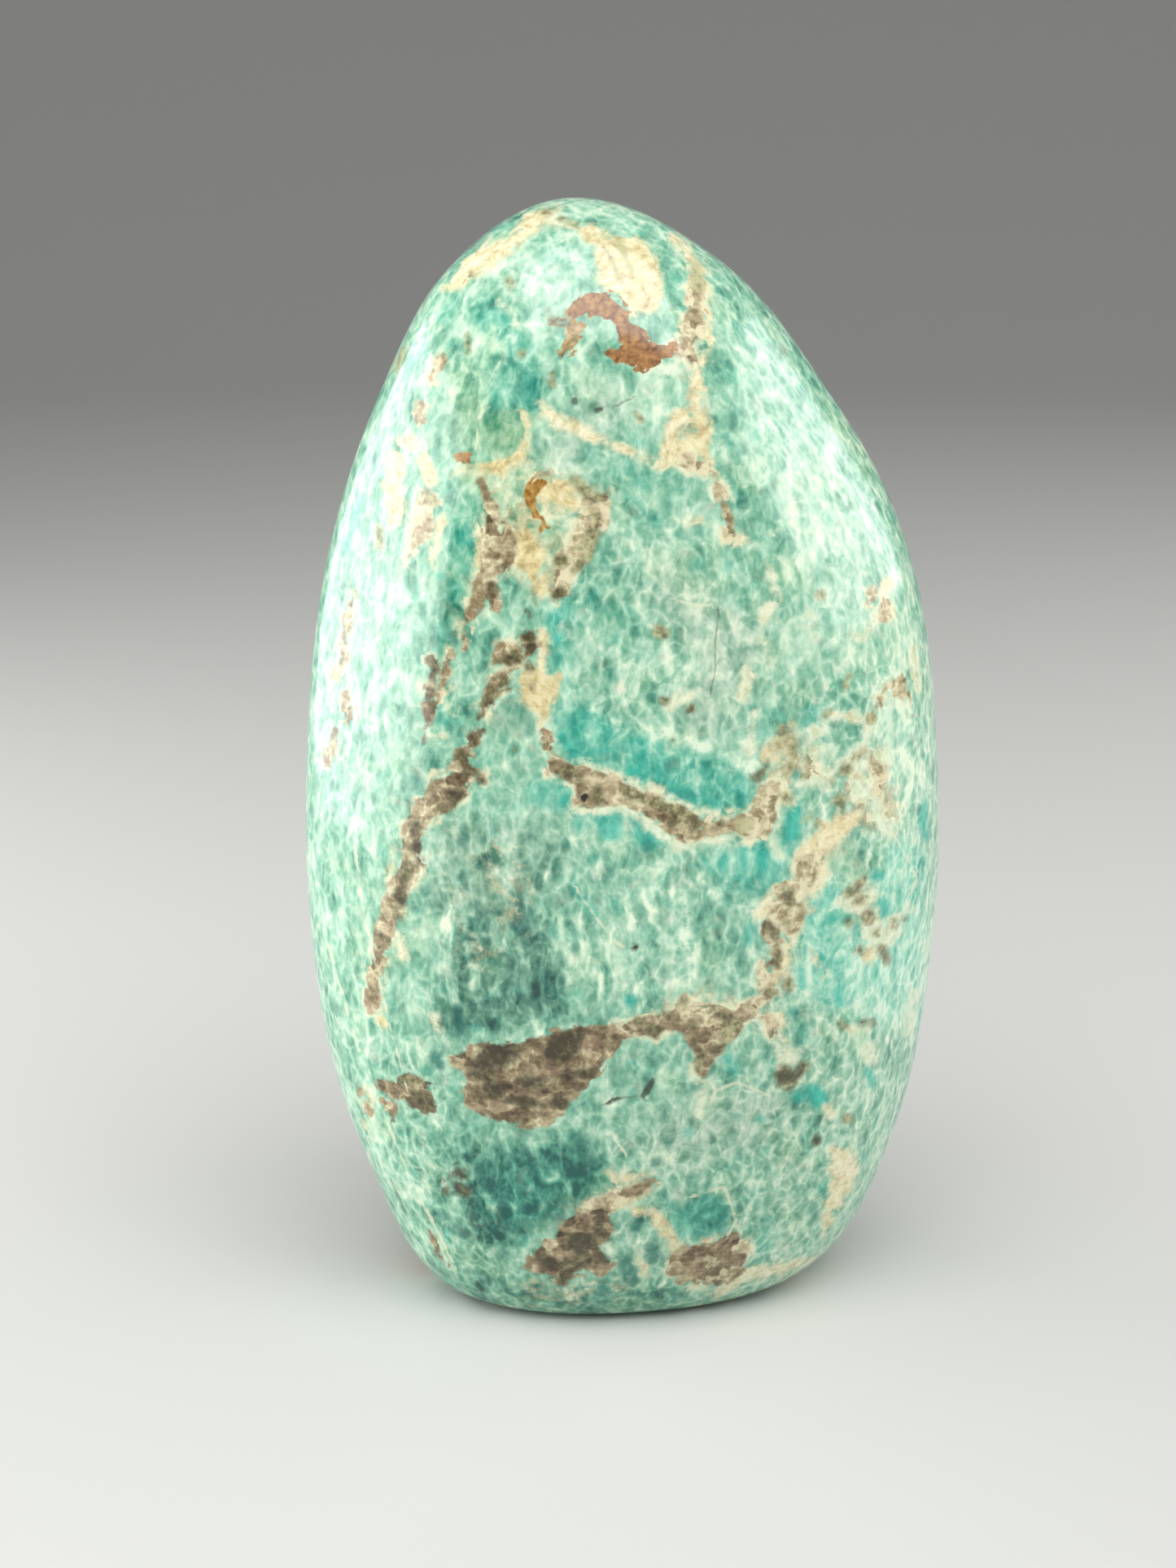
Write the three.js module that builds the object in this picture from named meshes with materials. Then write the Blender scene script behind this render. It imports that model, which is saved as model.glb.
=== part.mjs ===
// Amazonite freeform: a piece of amazonite feldspar, ground to a free shape and polished, that
// stands by itself on a sawn foot. It is one solid: the veins and markings are the stone's own
// colours and run through it. The shape is a flattened egg, widest below its middle, with a domed
// crown that leans to the left, a straighter right shoulder and broad facets left by the wheel
// that run into each other without an edge.
//
// Millimetres, +Z up. The origin is on the foot's plane, under the middle of the bounding box.
// -Y is the front, the broad face that shows the stone's markings best.

import * as THREE from "three";

// Driving dimensions
const HEIGHT = 120; // foot to crown
const ROWS = 56; // bands of faces from foot to crown
const COLUMNS = 64; // faces round each band
const SQUARENESS = 2.2; // 2 makes each level section an ellipse, and more makes it boxier

// Level sections from the foot to the crown. height is a share of HEIGHT. left and right are the
// section's ends along X, and front and back its ends along Y. turn is how far, in degrees, its
// right end is swung to the back.
const SECTIONS = [
  { height: 0.0, left: -18.7, right: 18.4, front: -12.4, back: 11.5, turn: 9 },
  { height: 0.015, left: -22.4, right: 22.8, front: -15.6, back: 14.8, turn: 9 },
  { height: 0.05, left: -25.3, right: 26.6, front: -17.9, back: 17.4, turn: 8 },
  { height: 0.11, left: -28.3, right: 30.0, front: -19.8, back: 19.8, turn: 6 },
  { height: 0.19, left: -31.7, right: 33.1, front: -21.4, back: 21.6, turn: 4 },
  { height: 0.29, left: -34.0, right: 34.9, front: -22.6, back: 22.8, turn: 2 },
  { height: 0.4, left: -34.9, right: 35.3, front: -22.9, back: 23.2, turn: 0 },
  { height: 0.52, left: -34.5, right: 34.3, front: -22.3, back: 22.6, turn: 0 },
  { height: 0.64, left: -33.1, right: 32.4, front: -20.9, back: 21.1, turn: 0 },
  { height: 0.75, left: -29.8, right: 28.3, front: -18.7, back: 18.9, turn: 0 },
  { height: 0.85, left: -24.9, right: 20.9, front: -15.8, back: 15.9, turn: 0 },
  { height: 0.92, left: -20.4, right: 14.2, front: -12.3, back: 12.6, turn: 0 },
  { height: 0.97, left: -14.5, right: 6.0, front: -7.8, back: 8.2, turn: 0 },
  { height: 1.0, left: -5.2, right: -5.2, front: 0.2, back: 0.2, turn: 0 },
];

// Facets that the wheel ground on the egg. normal points out of the stone, distance is how far the
// facet lies from the origin along it, and blend is how far the facet fades into the curve.
const FACETS = {
  leftBevel: { normal: [-0.79, -0.59, 0.165], distance: 40.4, blend: 0.8 },
  frontFace: { normal: [0.04, -0.995, 0.09], distance: 26.9, blend: 1.0 },
  rightShoulder: { normal: [0.7, -0.5, 0.51], distance: 67.6, blend: 1.8 },
  rightCheek: { normal: [0.86, -0.5, -0.1], distance: 27.8, blend: 1.5 },
  backFace: { normal: [0.1, 0.99, -0.08], distance: 19.4, blend: 1.2 },
  backLeft: { normal: [-0.72, 0.68, 0.12], distance: 36.4, blend: 1.2 },
};

// How far round a half circle a height stands, from 0 at the foot to 1 at the crown. The sections
// are placed and joined by it, which rounds the crown and the rim of the foot.
const swing = (height) => Math.acos(1 - 2 * height) / Math.PI;

// A smooth curve through values at the given stations, read at a place between them.
function smoothThrough(stations, values, place) {
  const last = stations.length - 1;
  const i = Math.max(0, Math.min(last - 1, stations.findIndex((s) => s > place) - 1));
  const k = place >= stations[last] ? last - 1 : i;
  const slope = (a, b) => (values[b] - values[a]) / (stations[b] - stations[a]);
  const tangent = (j) => {
    if (j === 0) return slope(0, 1);
    if (j === last) return slope(last - 1, last);
    const before = stations[j] - stations[j - 1];
    const after = stations[j + 1] - stations[j];
    return (slope(j - 1, j) * after + slope(j, j + 1) * before) / (before + after);
  };
  const width = stations[k + 1] - stations[k];
  const t = (place - stations[k]) / width;
  const t2 = t * t;
  const t3 = t2 * t;
  return (
    (2 * t3 - 3 * t2 + 1) * values[k] +
    (t3 - 2 * t2 + t) * width * tangent(k) +
    (3 * t2 - 2 * t3) * values[k + 1] +
    (t3 - t2) * width * tangent(k + 1)
  );
}

const stations = SECTIONS.map((section) => swing(section.height));
const sectionAt = (place) =>
  Object.fromEntries(
    ["left", "right", "front", "back", "turn"].map((key) => [
      key,
      smoothThrough(stations, SECTIONS.map((section) => section[key]), place),
    ]),
  );

// A point of a rounded-box outline of half sizes 1, at an angle round it.
function outlinePoint(angle) {
  const rounded = (v) => Math.sign(v) * Math.abs(v) ** (2 / SQUARENESS);
  return [rounded(Math.cos(angle)), rounded(Math.sin(angle))];
}

// Moves a point sideways, at its own height, as far as a facet's wheel would take the stone down.
function grind(point, facet) {
  const normal = new THREE.Vector3(...facet.normal).normalize();
  const proud = point.dot(normal) - facet.distance;
  const cut = facet.blend * Math.log1p(Math.exp(proud / facet.blend));
  const sideways = new THREE.Vector3(normal.x, normal.y, 0);
  return point.addScaledVector(sideways, -cut / sideways.lengthSq());
}

// One level ring of the stone, anticlockwise from above, starting at its right end.
function ring(place) {
  const section = sectionAt(place);
  const z = (HEIGHT * (1 - Math.cos(Math.PI * place))) / 2;
  const middle = (section.left + section.right) / 2;
  const halfWidth = (section.right - section.left) / 2;
  const turn = THREE.MathUtils.degToRad(section.turn);
  return Array.from({ length: COLUMNS }, (_, column) => {
    const [across, along] = outlinePoint((2 * Math.PI * column) / COLUMNS);
    const x = across * halfWidth;
    const y = along * (along < 0 ? -section.front : section.back);
    const point = new THREE.Vector3(
      middle + x * Math.cos(turn) - y * Math.sin(turn),
      x * Math.sin(turn) + y * Math.cos(turn),
      z,
    );
    return Object.values(FACETS).reduce(grind, point);
  });
}

// The closed skin: the flat foot, the bands between the rings, and the crown. The middle of its
// bounding box ends up over the origin.
function stoneGeometry() {
  const rings = Array.from({ length: ROWS }, (_, row) => ring(row / ROWS));
  const crownSection = sectionAt(1);
  const foot = new THREE.Vector3(0, 0, 0);
  const crown = new THREE.Vector3(crownSection.left, crownSection.front, HEIGHT);
  const points = [...rings.flat(), foot, crown];
  const footIndex = points.length - 2;
  const crownIndex = points.length - 1;
  const faces = [];
  for (let column = 0; column < COLUMNS; column += 1) {
    const next = (column + 1) % COLUMNS;
    faces.push(footIndex, next, column);
    for (let row = 0; row < ROWS - 1; row += 1) {
      const low = row * COLUMNS;
      const high = low + COLUMNS;
      faces.push(low + column, low + next, high + next);
      faces.push(low + column, high + next, high + column);
    }
    const top = (ROWS - 1) * COLUMNS;
    faces.push(top + column, top + next, crownIndex);
  }
  const geometry = new THREE.BufferGeometry().setFromPoints(points);
  geometry.setIndex(faces);
  geometry.computeBoundingBox();
  const middle = geometry.boundingBox.getCenter(new THREE.Vector3());
  geometry.translate(-middle.x, -middle.y, 0);
  geometry.computeVertexNormals();
  return geometry;
}

const polishedStone = new THREE.MeshStandardMaterial({
  color: new THREE.Color("#7fc4ad"),
  roughness: 0.15,
  metalness: 0,
});

const stone = new THREE.Mesh(stoneGeometry(), polishedStone);
stone.name = "amazonite_stone";

const freeform = new THREE.Group();
freeform.name = "amazonite_freeform";
freeform.add(stone);

export default freeform;
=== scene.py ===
"""Amazonite freeform: the looks of one polished stone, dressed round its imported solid.

The stone is one piece. A finer skin is drawn through the solid's own level rings, so it has the
solid's shape and size without its facets. Its markings are places on the stone, read off the
photograph as points of its 1445 x 1927 frame and carried on to the skin along the camera's lines of
sight. Each kind of marking becomes a number at every vertex that says how far inside it the vertex
lies, and the material turns those numbers into colours with ragged, grainy edges. Everything
between the markings is pattern that fills space, so it runs round the sides and the back. It also
makes further veins and areas there, where the photograph doesn't reach.
"""

import math
from collections import namedtuple

import bpy
import numpy as np
from mathutils import Euler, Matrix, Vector


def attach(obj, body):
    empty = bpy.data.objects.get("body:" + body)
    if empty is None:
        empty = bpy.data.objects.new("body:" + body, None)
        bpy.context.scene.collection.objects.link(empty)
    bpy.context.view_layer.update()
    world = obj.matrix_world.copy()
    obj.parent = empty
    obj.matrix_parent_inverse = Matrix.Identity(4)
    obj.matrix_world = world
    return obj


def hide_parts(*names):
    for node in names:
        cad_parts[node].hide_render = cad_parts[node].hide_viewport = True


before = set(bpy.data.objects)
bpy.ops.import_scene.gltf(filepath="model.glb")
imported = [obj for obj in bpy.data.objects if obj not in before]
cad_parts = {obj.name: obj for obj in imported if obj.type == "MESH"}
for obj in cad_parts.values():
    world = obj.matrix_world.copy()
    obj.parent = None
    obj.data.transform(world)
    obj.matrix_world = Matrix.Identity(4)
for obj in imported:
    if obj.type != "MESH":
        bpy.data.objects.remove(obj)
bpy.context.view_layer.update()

NODE = "amazonite_stone"
MM = 0.001

# ---------------------------------------------------------------- the camera
# The photograph's view: 15 degrees above the horizon, through a lens of 60 mm on a 36 mm frame.

PHOTO_WIDTH = 1445
PHOTO_HEIGHT = 1927
LENS = 60.0
SENSOR_HEIGHT = 36.0
CAMERA_AT = np.array([-0.0039, -0.2775, 0.1314])
CAMERA_PITCH = math.radians(15)
PIXELS_PER_MM = 11.2  # of the photograph, at the stone's front


def make_camera():
    """The scene's camera, at the photograph's place and angle."""
    data = bpy.data.cameras.new("camera")
    data.lens = LENS
    data.sensor_fit = "VERTICAL"
    data.sensor_height = SENSOR_HEIGHT
    data.clip_start = 0.01
    data.clip_end = 20.0
    camera = bpy.data.objects.new("camera", data)
    camera.location = CAMERA_AT
    camera.rotation_euler = Euler((math.pi / 2 - CAMERA_PITCH, 0, 0))
    bpy.context.scene.collection.objects.link(camera)
    bpy.context.scene.camera = camera


def pixels_of(points):
    """The photograph's pixel that each point of the frame is seen at, as if through the stone."""
    forward = np.array([0, math.cos(CAMERA_PITCH), -math.sin(CAMERA_PITCH)])
    up = np.array([0, math.sin(CAMERA_PITCH), math.cos(CAMERA_PITCH)])
    away = points - CAMERA_AT
    scale = LENS / SENSOR_HEIGHT * PHOTO_HEIGHT / (away @ forward)
    across = PHOTO_WIDTH / 2 + scale * away[..., 0]
    down = PHOTO_HEIGHT / 2 - scale * (away @ up)
    return np.stack([across, down], axis=-1)


# ---------------------------------------------------------------- the markings
# Points are pixels of the photograph. A route's points are (x, y, half width) along its middle, an
# outline's are (x, y) round its edge, and a line's are (x, y) along it, because a line has no width
# of its own. tone is how dark, golden or strong a mark is, mostly from 0 to 1. A mark that is deep
# runs through the stone to its back, as a vein does, and any other ends near the face that shows it.

Mark = namedtuple("Mark", "points tone deep", defaults=(0.5, False))

# Brown smoky quartz
SMOKY = {
    "granular bed": Mark(
        [(720, 612), (750, 602), (745, 637), (739, 653), (720, 684), (698, 709), (701, 731), (684, 742),
         (677, 726), (683, 683), (703, 664), (714, 640)], 0.35, True),
    "upper right vein": Mark(
        [(848, 326), (862, 338), (868, 352), (864, 372), (868, 388), (864, 406), (856, 424), (846, 440),
         (836, 432), (834, 412), (834, 396), (846, 372), (850, 352)], 0.15, True),
    "vein to rust": Mark([(826, 430, 7), (842, 428, 8), (852, 450, 6)], 0.3, True),
    "right descender": Mark(
        [(868, 572, 4), (880, 588, 5), (885, 606, 7), (890, 622, 8), (898, 640, 8), (898, 656, 8)],
        0.0, True),
    "orange bed": Mark([(838, 566, 5), (850, 568, 7), (864, 576, 6)], 0.3),
    "right wedge": Mark(
        [(1086, 846), (1100, 834), (1117, 827), (1118, 845), (1123, 878), (1112, 858), (1098, 850)],
        0.25, True),
    "right wedge tail": Mark([(1080, 862, 4), (1070, 884, 4)], 0.5, True),
    "right crest": Mark([(1062, 745), (1066, 728), (1076, 718), (1081, 730), (1073, 746)], 0.3, True),
    "right hook": Mark([(1068, 931, 5), (1080, 946, 8), (1082, 962, 6), (1078, 976, 4)], 0.0, True),
    "bevel 1": Mark([(546, 440, 5), (530, 466, 6)], 0.25),
    "bevel 2": Mark([(516, 498, 9), (517, 514, 9)], 0.0),
    "bevel 3": Mark([(499, 542, 9)], 0.05),
    "bevel 4": Mark(
        [(514, 605), (540, 616), (533, 627), (536, 660), (518, 671), (499, 694), (496, 683), (507, 649),
         (514, 627)], 0.0, True),
    "bevel 6": Mark(
        [(435, 728, 4), (430, 745, 6), (422, 775, 5), (422, 806, 6), (411, 834, 3)], 0.4, True),
    "bevel 7": Mark([(425, 856, 5), (429, 884, 7)], 0.65, True),
    "bevel 8": Mark([(411, 897, 4), (400, 936, 5)], 0.65, True),
    "left edge thread": Mark([(524, 1500, 2), (536, 1534, 4), (546, 1556, 3)], 0.8, True),
    "left vein top": Mark([(590, 590, 6), (598, 608, 6), (602, 624, 7)], 0.55, True),
    "left vein": Mark(
        [(602, 636, 10), (606, 660, 13), (604, 690, 13), (594, 716, 11), (586, 740, 10)], 0.45, True),
    "left vein column": Mark([(624, 652, 11), (620, 680, 12), (616, 700, 8)], 0.7, True),
    "left vein lobe": Mark(
        [(597, 718), (604, 714), (616, 739), (611, 752), (603, 748), (600, 732)], 0.8, True),
    "left vein knee": Mark(
        [(566, 752), (575, 746), (592, 748), (586, 762), (578, 773), (571, 766)], 0.75, True),
    "left vein drop": Mark([(570, 776, 5), (569, 798, 4)], 0.55, True),
    "left vein low": Mark([(553, 802, 6), (549, 822, 7), (544, 842, 8), (540, 858, 5)], 0.35, True),
    "left vein block": Mark([(531, 812, 7), (532, 824, 7), (529, 852, 7)], 0.65, True),
    "left vein wedge": Mark(
        [(518, 862), (526, 858), (540, 866), (534, 885), (528, 899), (521, 890), (517, 874)], 0.9, True),
    "left vein tail": Mark([(523, 900, 3), (520, 914, 2)], 0.9, True),
    "long vein head": Mark(
        [(640, 784), (649, 772), (660, 777), (661, 795), (656, 805), (646, 803), (648, 790)], 0.8, True),
    "long vein knob": Mark(
        [(606, 802), (612, 790), (630, 788), (638, 797), (642, 806), (636, 820), (627, 824), (617, 818),
         (607, 815)], 0.55, True),
    "long vein upper": Mark([(618, 832, 10), (604, 848, 9), (596, 866, 7), (590, 880, 6)], 0.6, True),
    "long vein neck": Mark([(592, 898, 7), (583, 912, 7)], 0.8, True),
    "long vein bulge": Mark(
        [(560, 920), (575, 918), (580, 934), (596, 950), (597, 962), (586, 954), (576, 964), (572, 978),
         (560, 992), (545, 1002), (524, 1010), (504, 1014), (505, 994), (520, 975), (530, 955),
         (545, 952), (556, 945)], 0.6, True),
    "long vein lower": Mark(
        [(511, 1008, 12), (506, 1036, 13), (502, 1062, 13), (492, 1090, 13), (482, 1118, 12),
         (474, 1145, 11), (466, 1172, 9), (458, 1200, 8), (459, 1236, 8)], 0.65, True),
    "middle vein top": Mark([(670, 902, 7), (673, 918, 7)], 0.7, True),
    "middle vein": Mark(
        [(668, 928), (684, 928), (699, 937), (719, 944), (745, 952), (765, 962), (800, 975), (835, 990),
         (862, 1003), (862, 1032), (845, 1038), (828, 1030), (808, 1013), (788, 1000), (765, 987),
         (740, 990), (720, 998), (706, 990), (704, 966), (690, 957), (676, 950)], 0.5, True),
    "middle vein right": Mark(
        [(860, 1002), (885, 1006), (905, 1001), (922, 992), (932, 972), (946, 956), (958, 962),
         (957, 985), (954, 1012), (940, 1032), (918, 1030), (895, 1022), (862, 1030)], 0.3, True),
    "right vein 1": Mark(
        [(978, 1050), (1000, 1048), (1006, 1065), (1003, 1090), (990, 1098), (980, 1086), (975, 1074)],
        -0.1, True),
    "right vein 2": Mark(
        [(953, 1095), (972, 1078), (981, 1085), (978, 1105), (986, 1112), (976, 1127), (964, 1122),
         (957, 1106)], 0.45, True),
    "right vein 3": Mark(
        [(948, 1108), (962, 1112), (988, 1104), (993, 1128), (986, 1146), (966, 1152), (950, 1138),
         (938, 1122)], -0.1, True),
    "right vein 4": Mark(
        [(935, 1136), (941, 1130), (951, 1140), (966, 1152), (958, 1163), (940, 1158), (934, 1148)],
        0.35, True),
    "right vein 5": Mark(
        [(946, 1166), (955, 1162), (962, 1176), (958, 1191), (938, 1193), (935, 1185), (945, 1178)],
        0.35, True),
    "right vein 6": Mark(
        [(932, 1197), (956, 1196), (955, 1211), (957, 1222), (950, 1234), (938, 1226), (932, 1212)],
        0.2, True),
    "right vein 7": Mark([(938, 1230, 6), (941, 1244, 6), (949, 1258, 6), (954, 1272, 5)], 0.3, True),
    "lower lens": Mark(
        [(553, 1298), (565, 1290), (585, 1285), (600, 1280), (640, 1277), (665, 1272), (690, 1265),
         (716, 1259), (740, 1262), (762, 1258), (778, 1272), (765, 1280), (757, 1292), (745, 1306),
         (735, 1322), (720, 1341), (700, 1353), (690, 1366), (672, 1380), (650, 1386), (630, 1381),
         (608, 1379), (590, 1368), (570, 1358), (564, 1346), (572, 1334), (574, 1320), (566, 1312),
         (555, 1308)], 0.86, True),
    "lens tail": Mark(
        [(748, 1260), (795, 1251), (815, 1241), (830, 1238), (842, 1224), (850, 1235), (886, 1236),
         (900, 1243), (916, 1234), (932, 1226), (936, 1240), (922, 1250), (912, 1264), (904, 1277),
         (889, 1290), (880, 1306), (872, 1321), (862, 1326), (852, 1315), (853, 1297), (844, 1284),
         (834, 1268), (815, 1266), (808, 1277), (787, 1272), (765, 1280)], 0.45, True),
    "lower left patch": Mark(
        [(461, 1324), (470, 1330), (484, 1329), (487, 1319), (500, 1316), (520, 1325), (536, 1328),
         (550, 1336), (526, 1339), (533, 1352), (536, 1369), (516, 1369), (500, 1358), (490, 1352),
         (474, 1346), (464, 1336)], 0.9, True),
    "lower left chip": Mark([(470, 1354, 5), (482, 1364, 7), (481, 1378, 4)], 0.8, True),
    "lower left edge": Mark([(444, 1341, 3), (453, 1352, 3), (452, 1369, 5), (450, 1378, 3)], 0.6, True),
    "foot left mass": Mark(
        [(645, 1556), (650, 1544), (662, 1530), (679, 1520), (688, 1502), (700, 1494), (716, 1484),
         (745, 1476), (752, 1498), (755, 1514), (742, 1524), (736, 1534), (752, 1554), (740, 1568),
         (706, 1564), (694, 1576), (668, 1570)], 0.8, True),
    "foot left arm": Mark(
        [(700, 1502, 6), (730, 1486, 9), (760, 1474, 9), (785, 1462, 10), (800, 1452, 7)], 0.4, True),
    "foot right mass": Mark(
        [(819, 1546), (835, 1535), (855, 1528), (872, 1525), (890, 1517), (905, 1512), (915, 1520),
         (919, 1535), (921, 1548), (912, 1565), (896, 1576), (881, 1585), (860, 1576), (835, 1576),
         (818, 1566)], 0.6, True),
    "right crest low": Mark([(1087, 740, 5), (1085, 758, 5)], 0.4, True),
}

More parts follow.
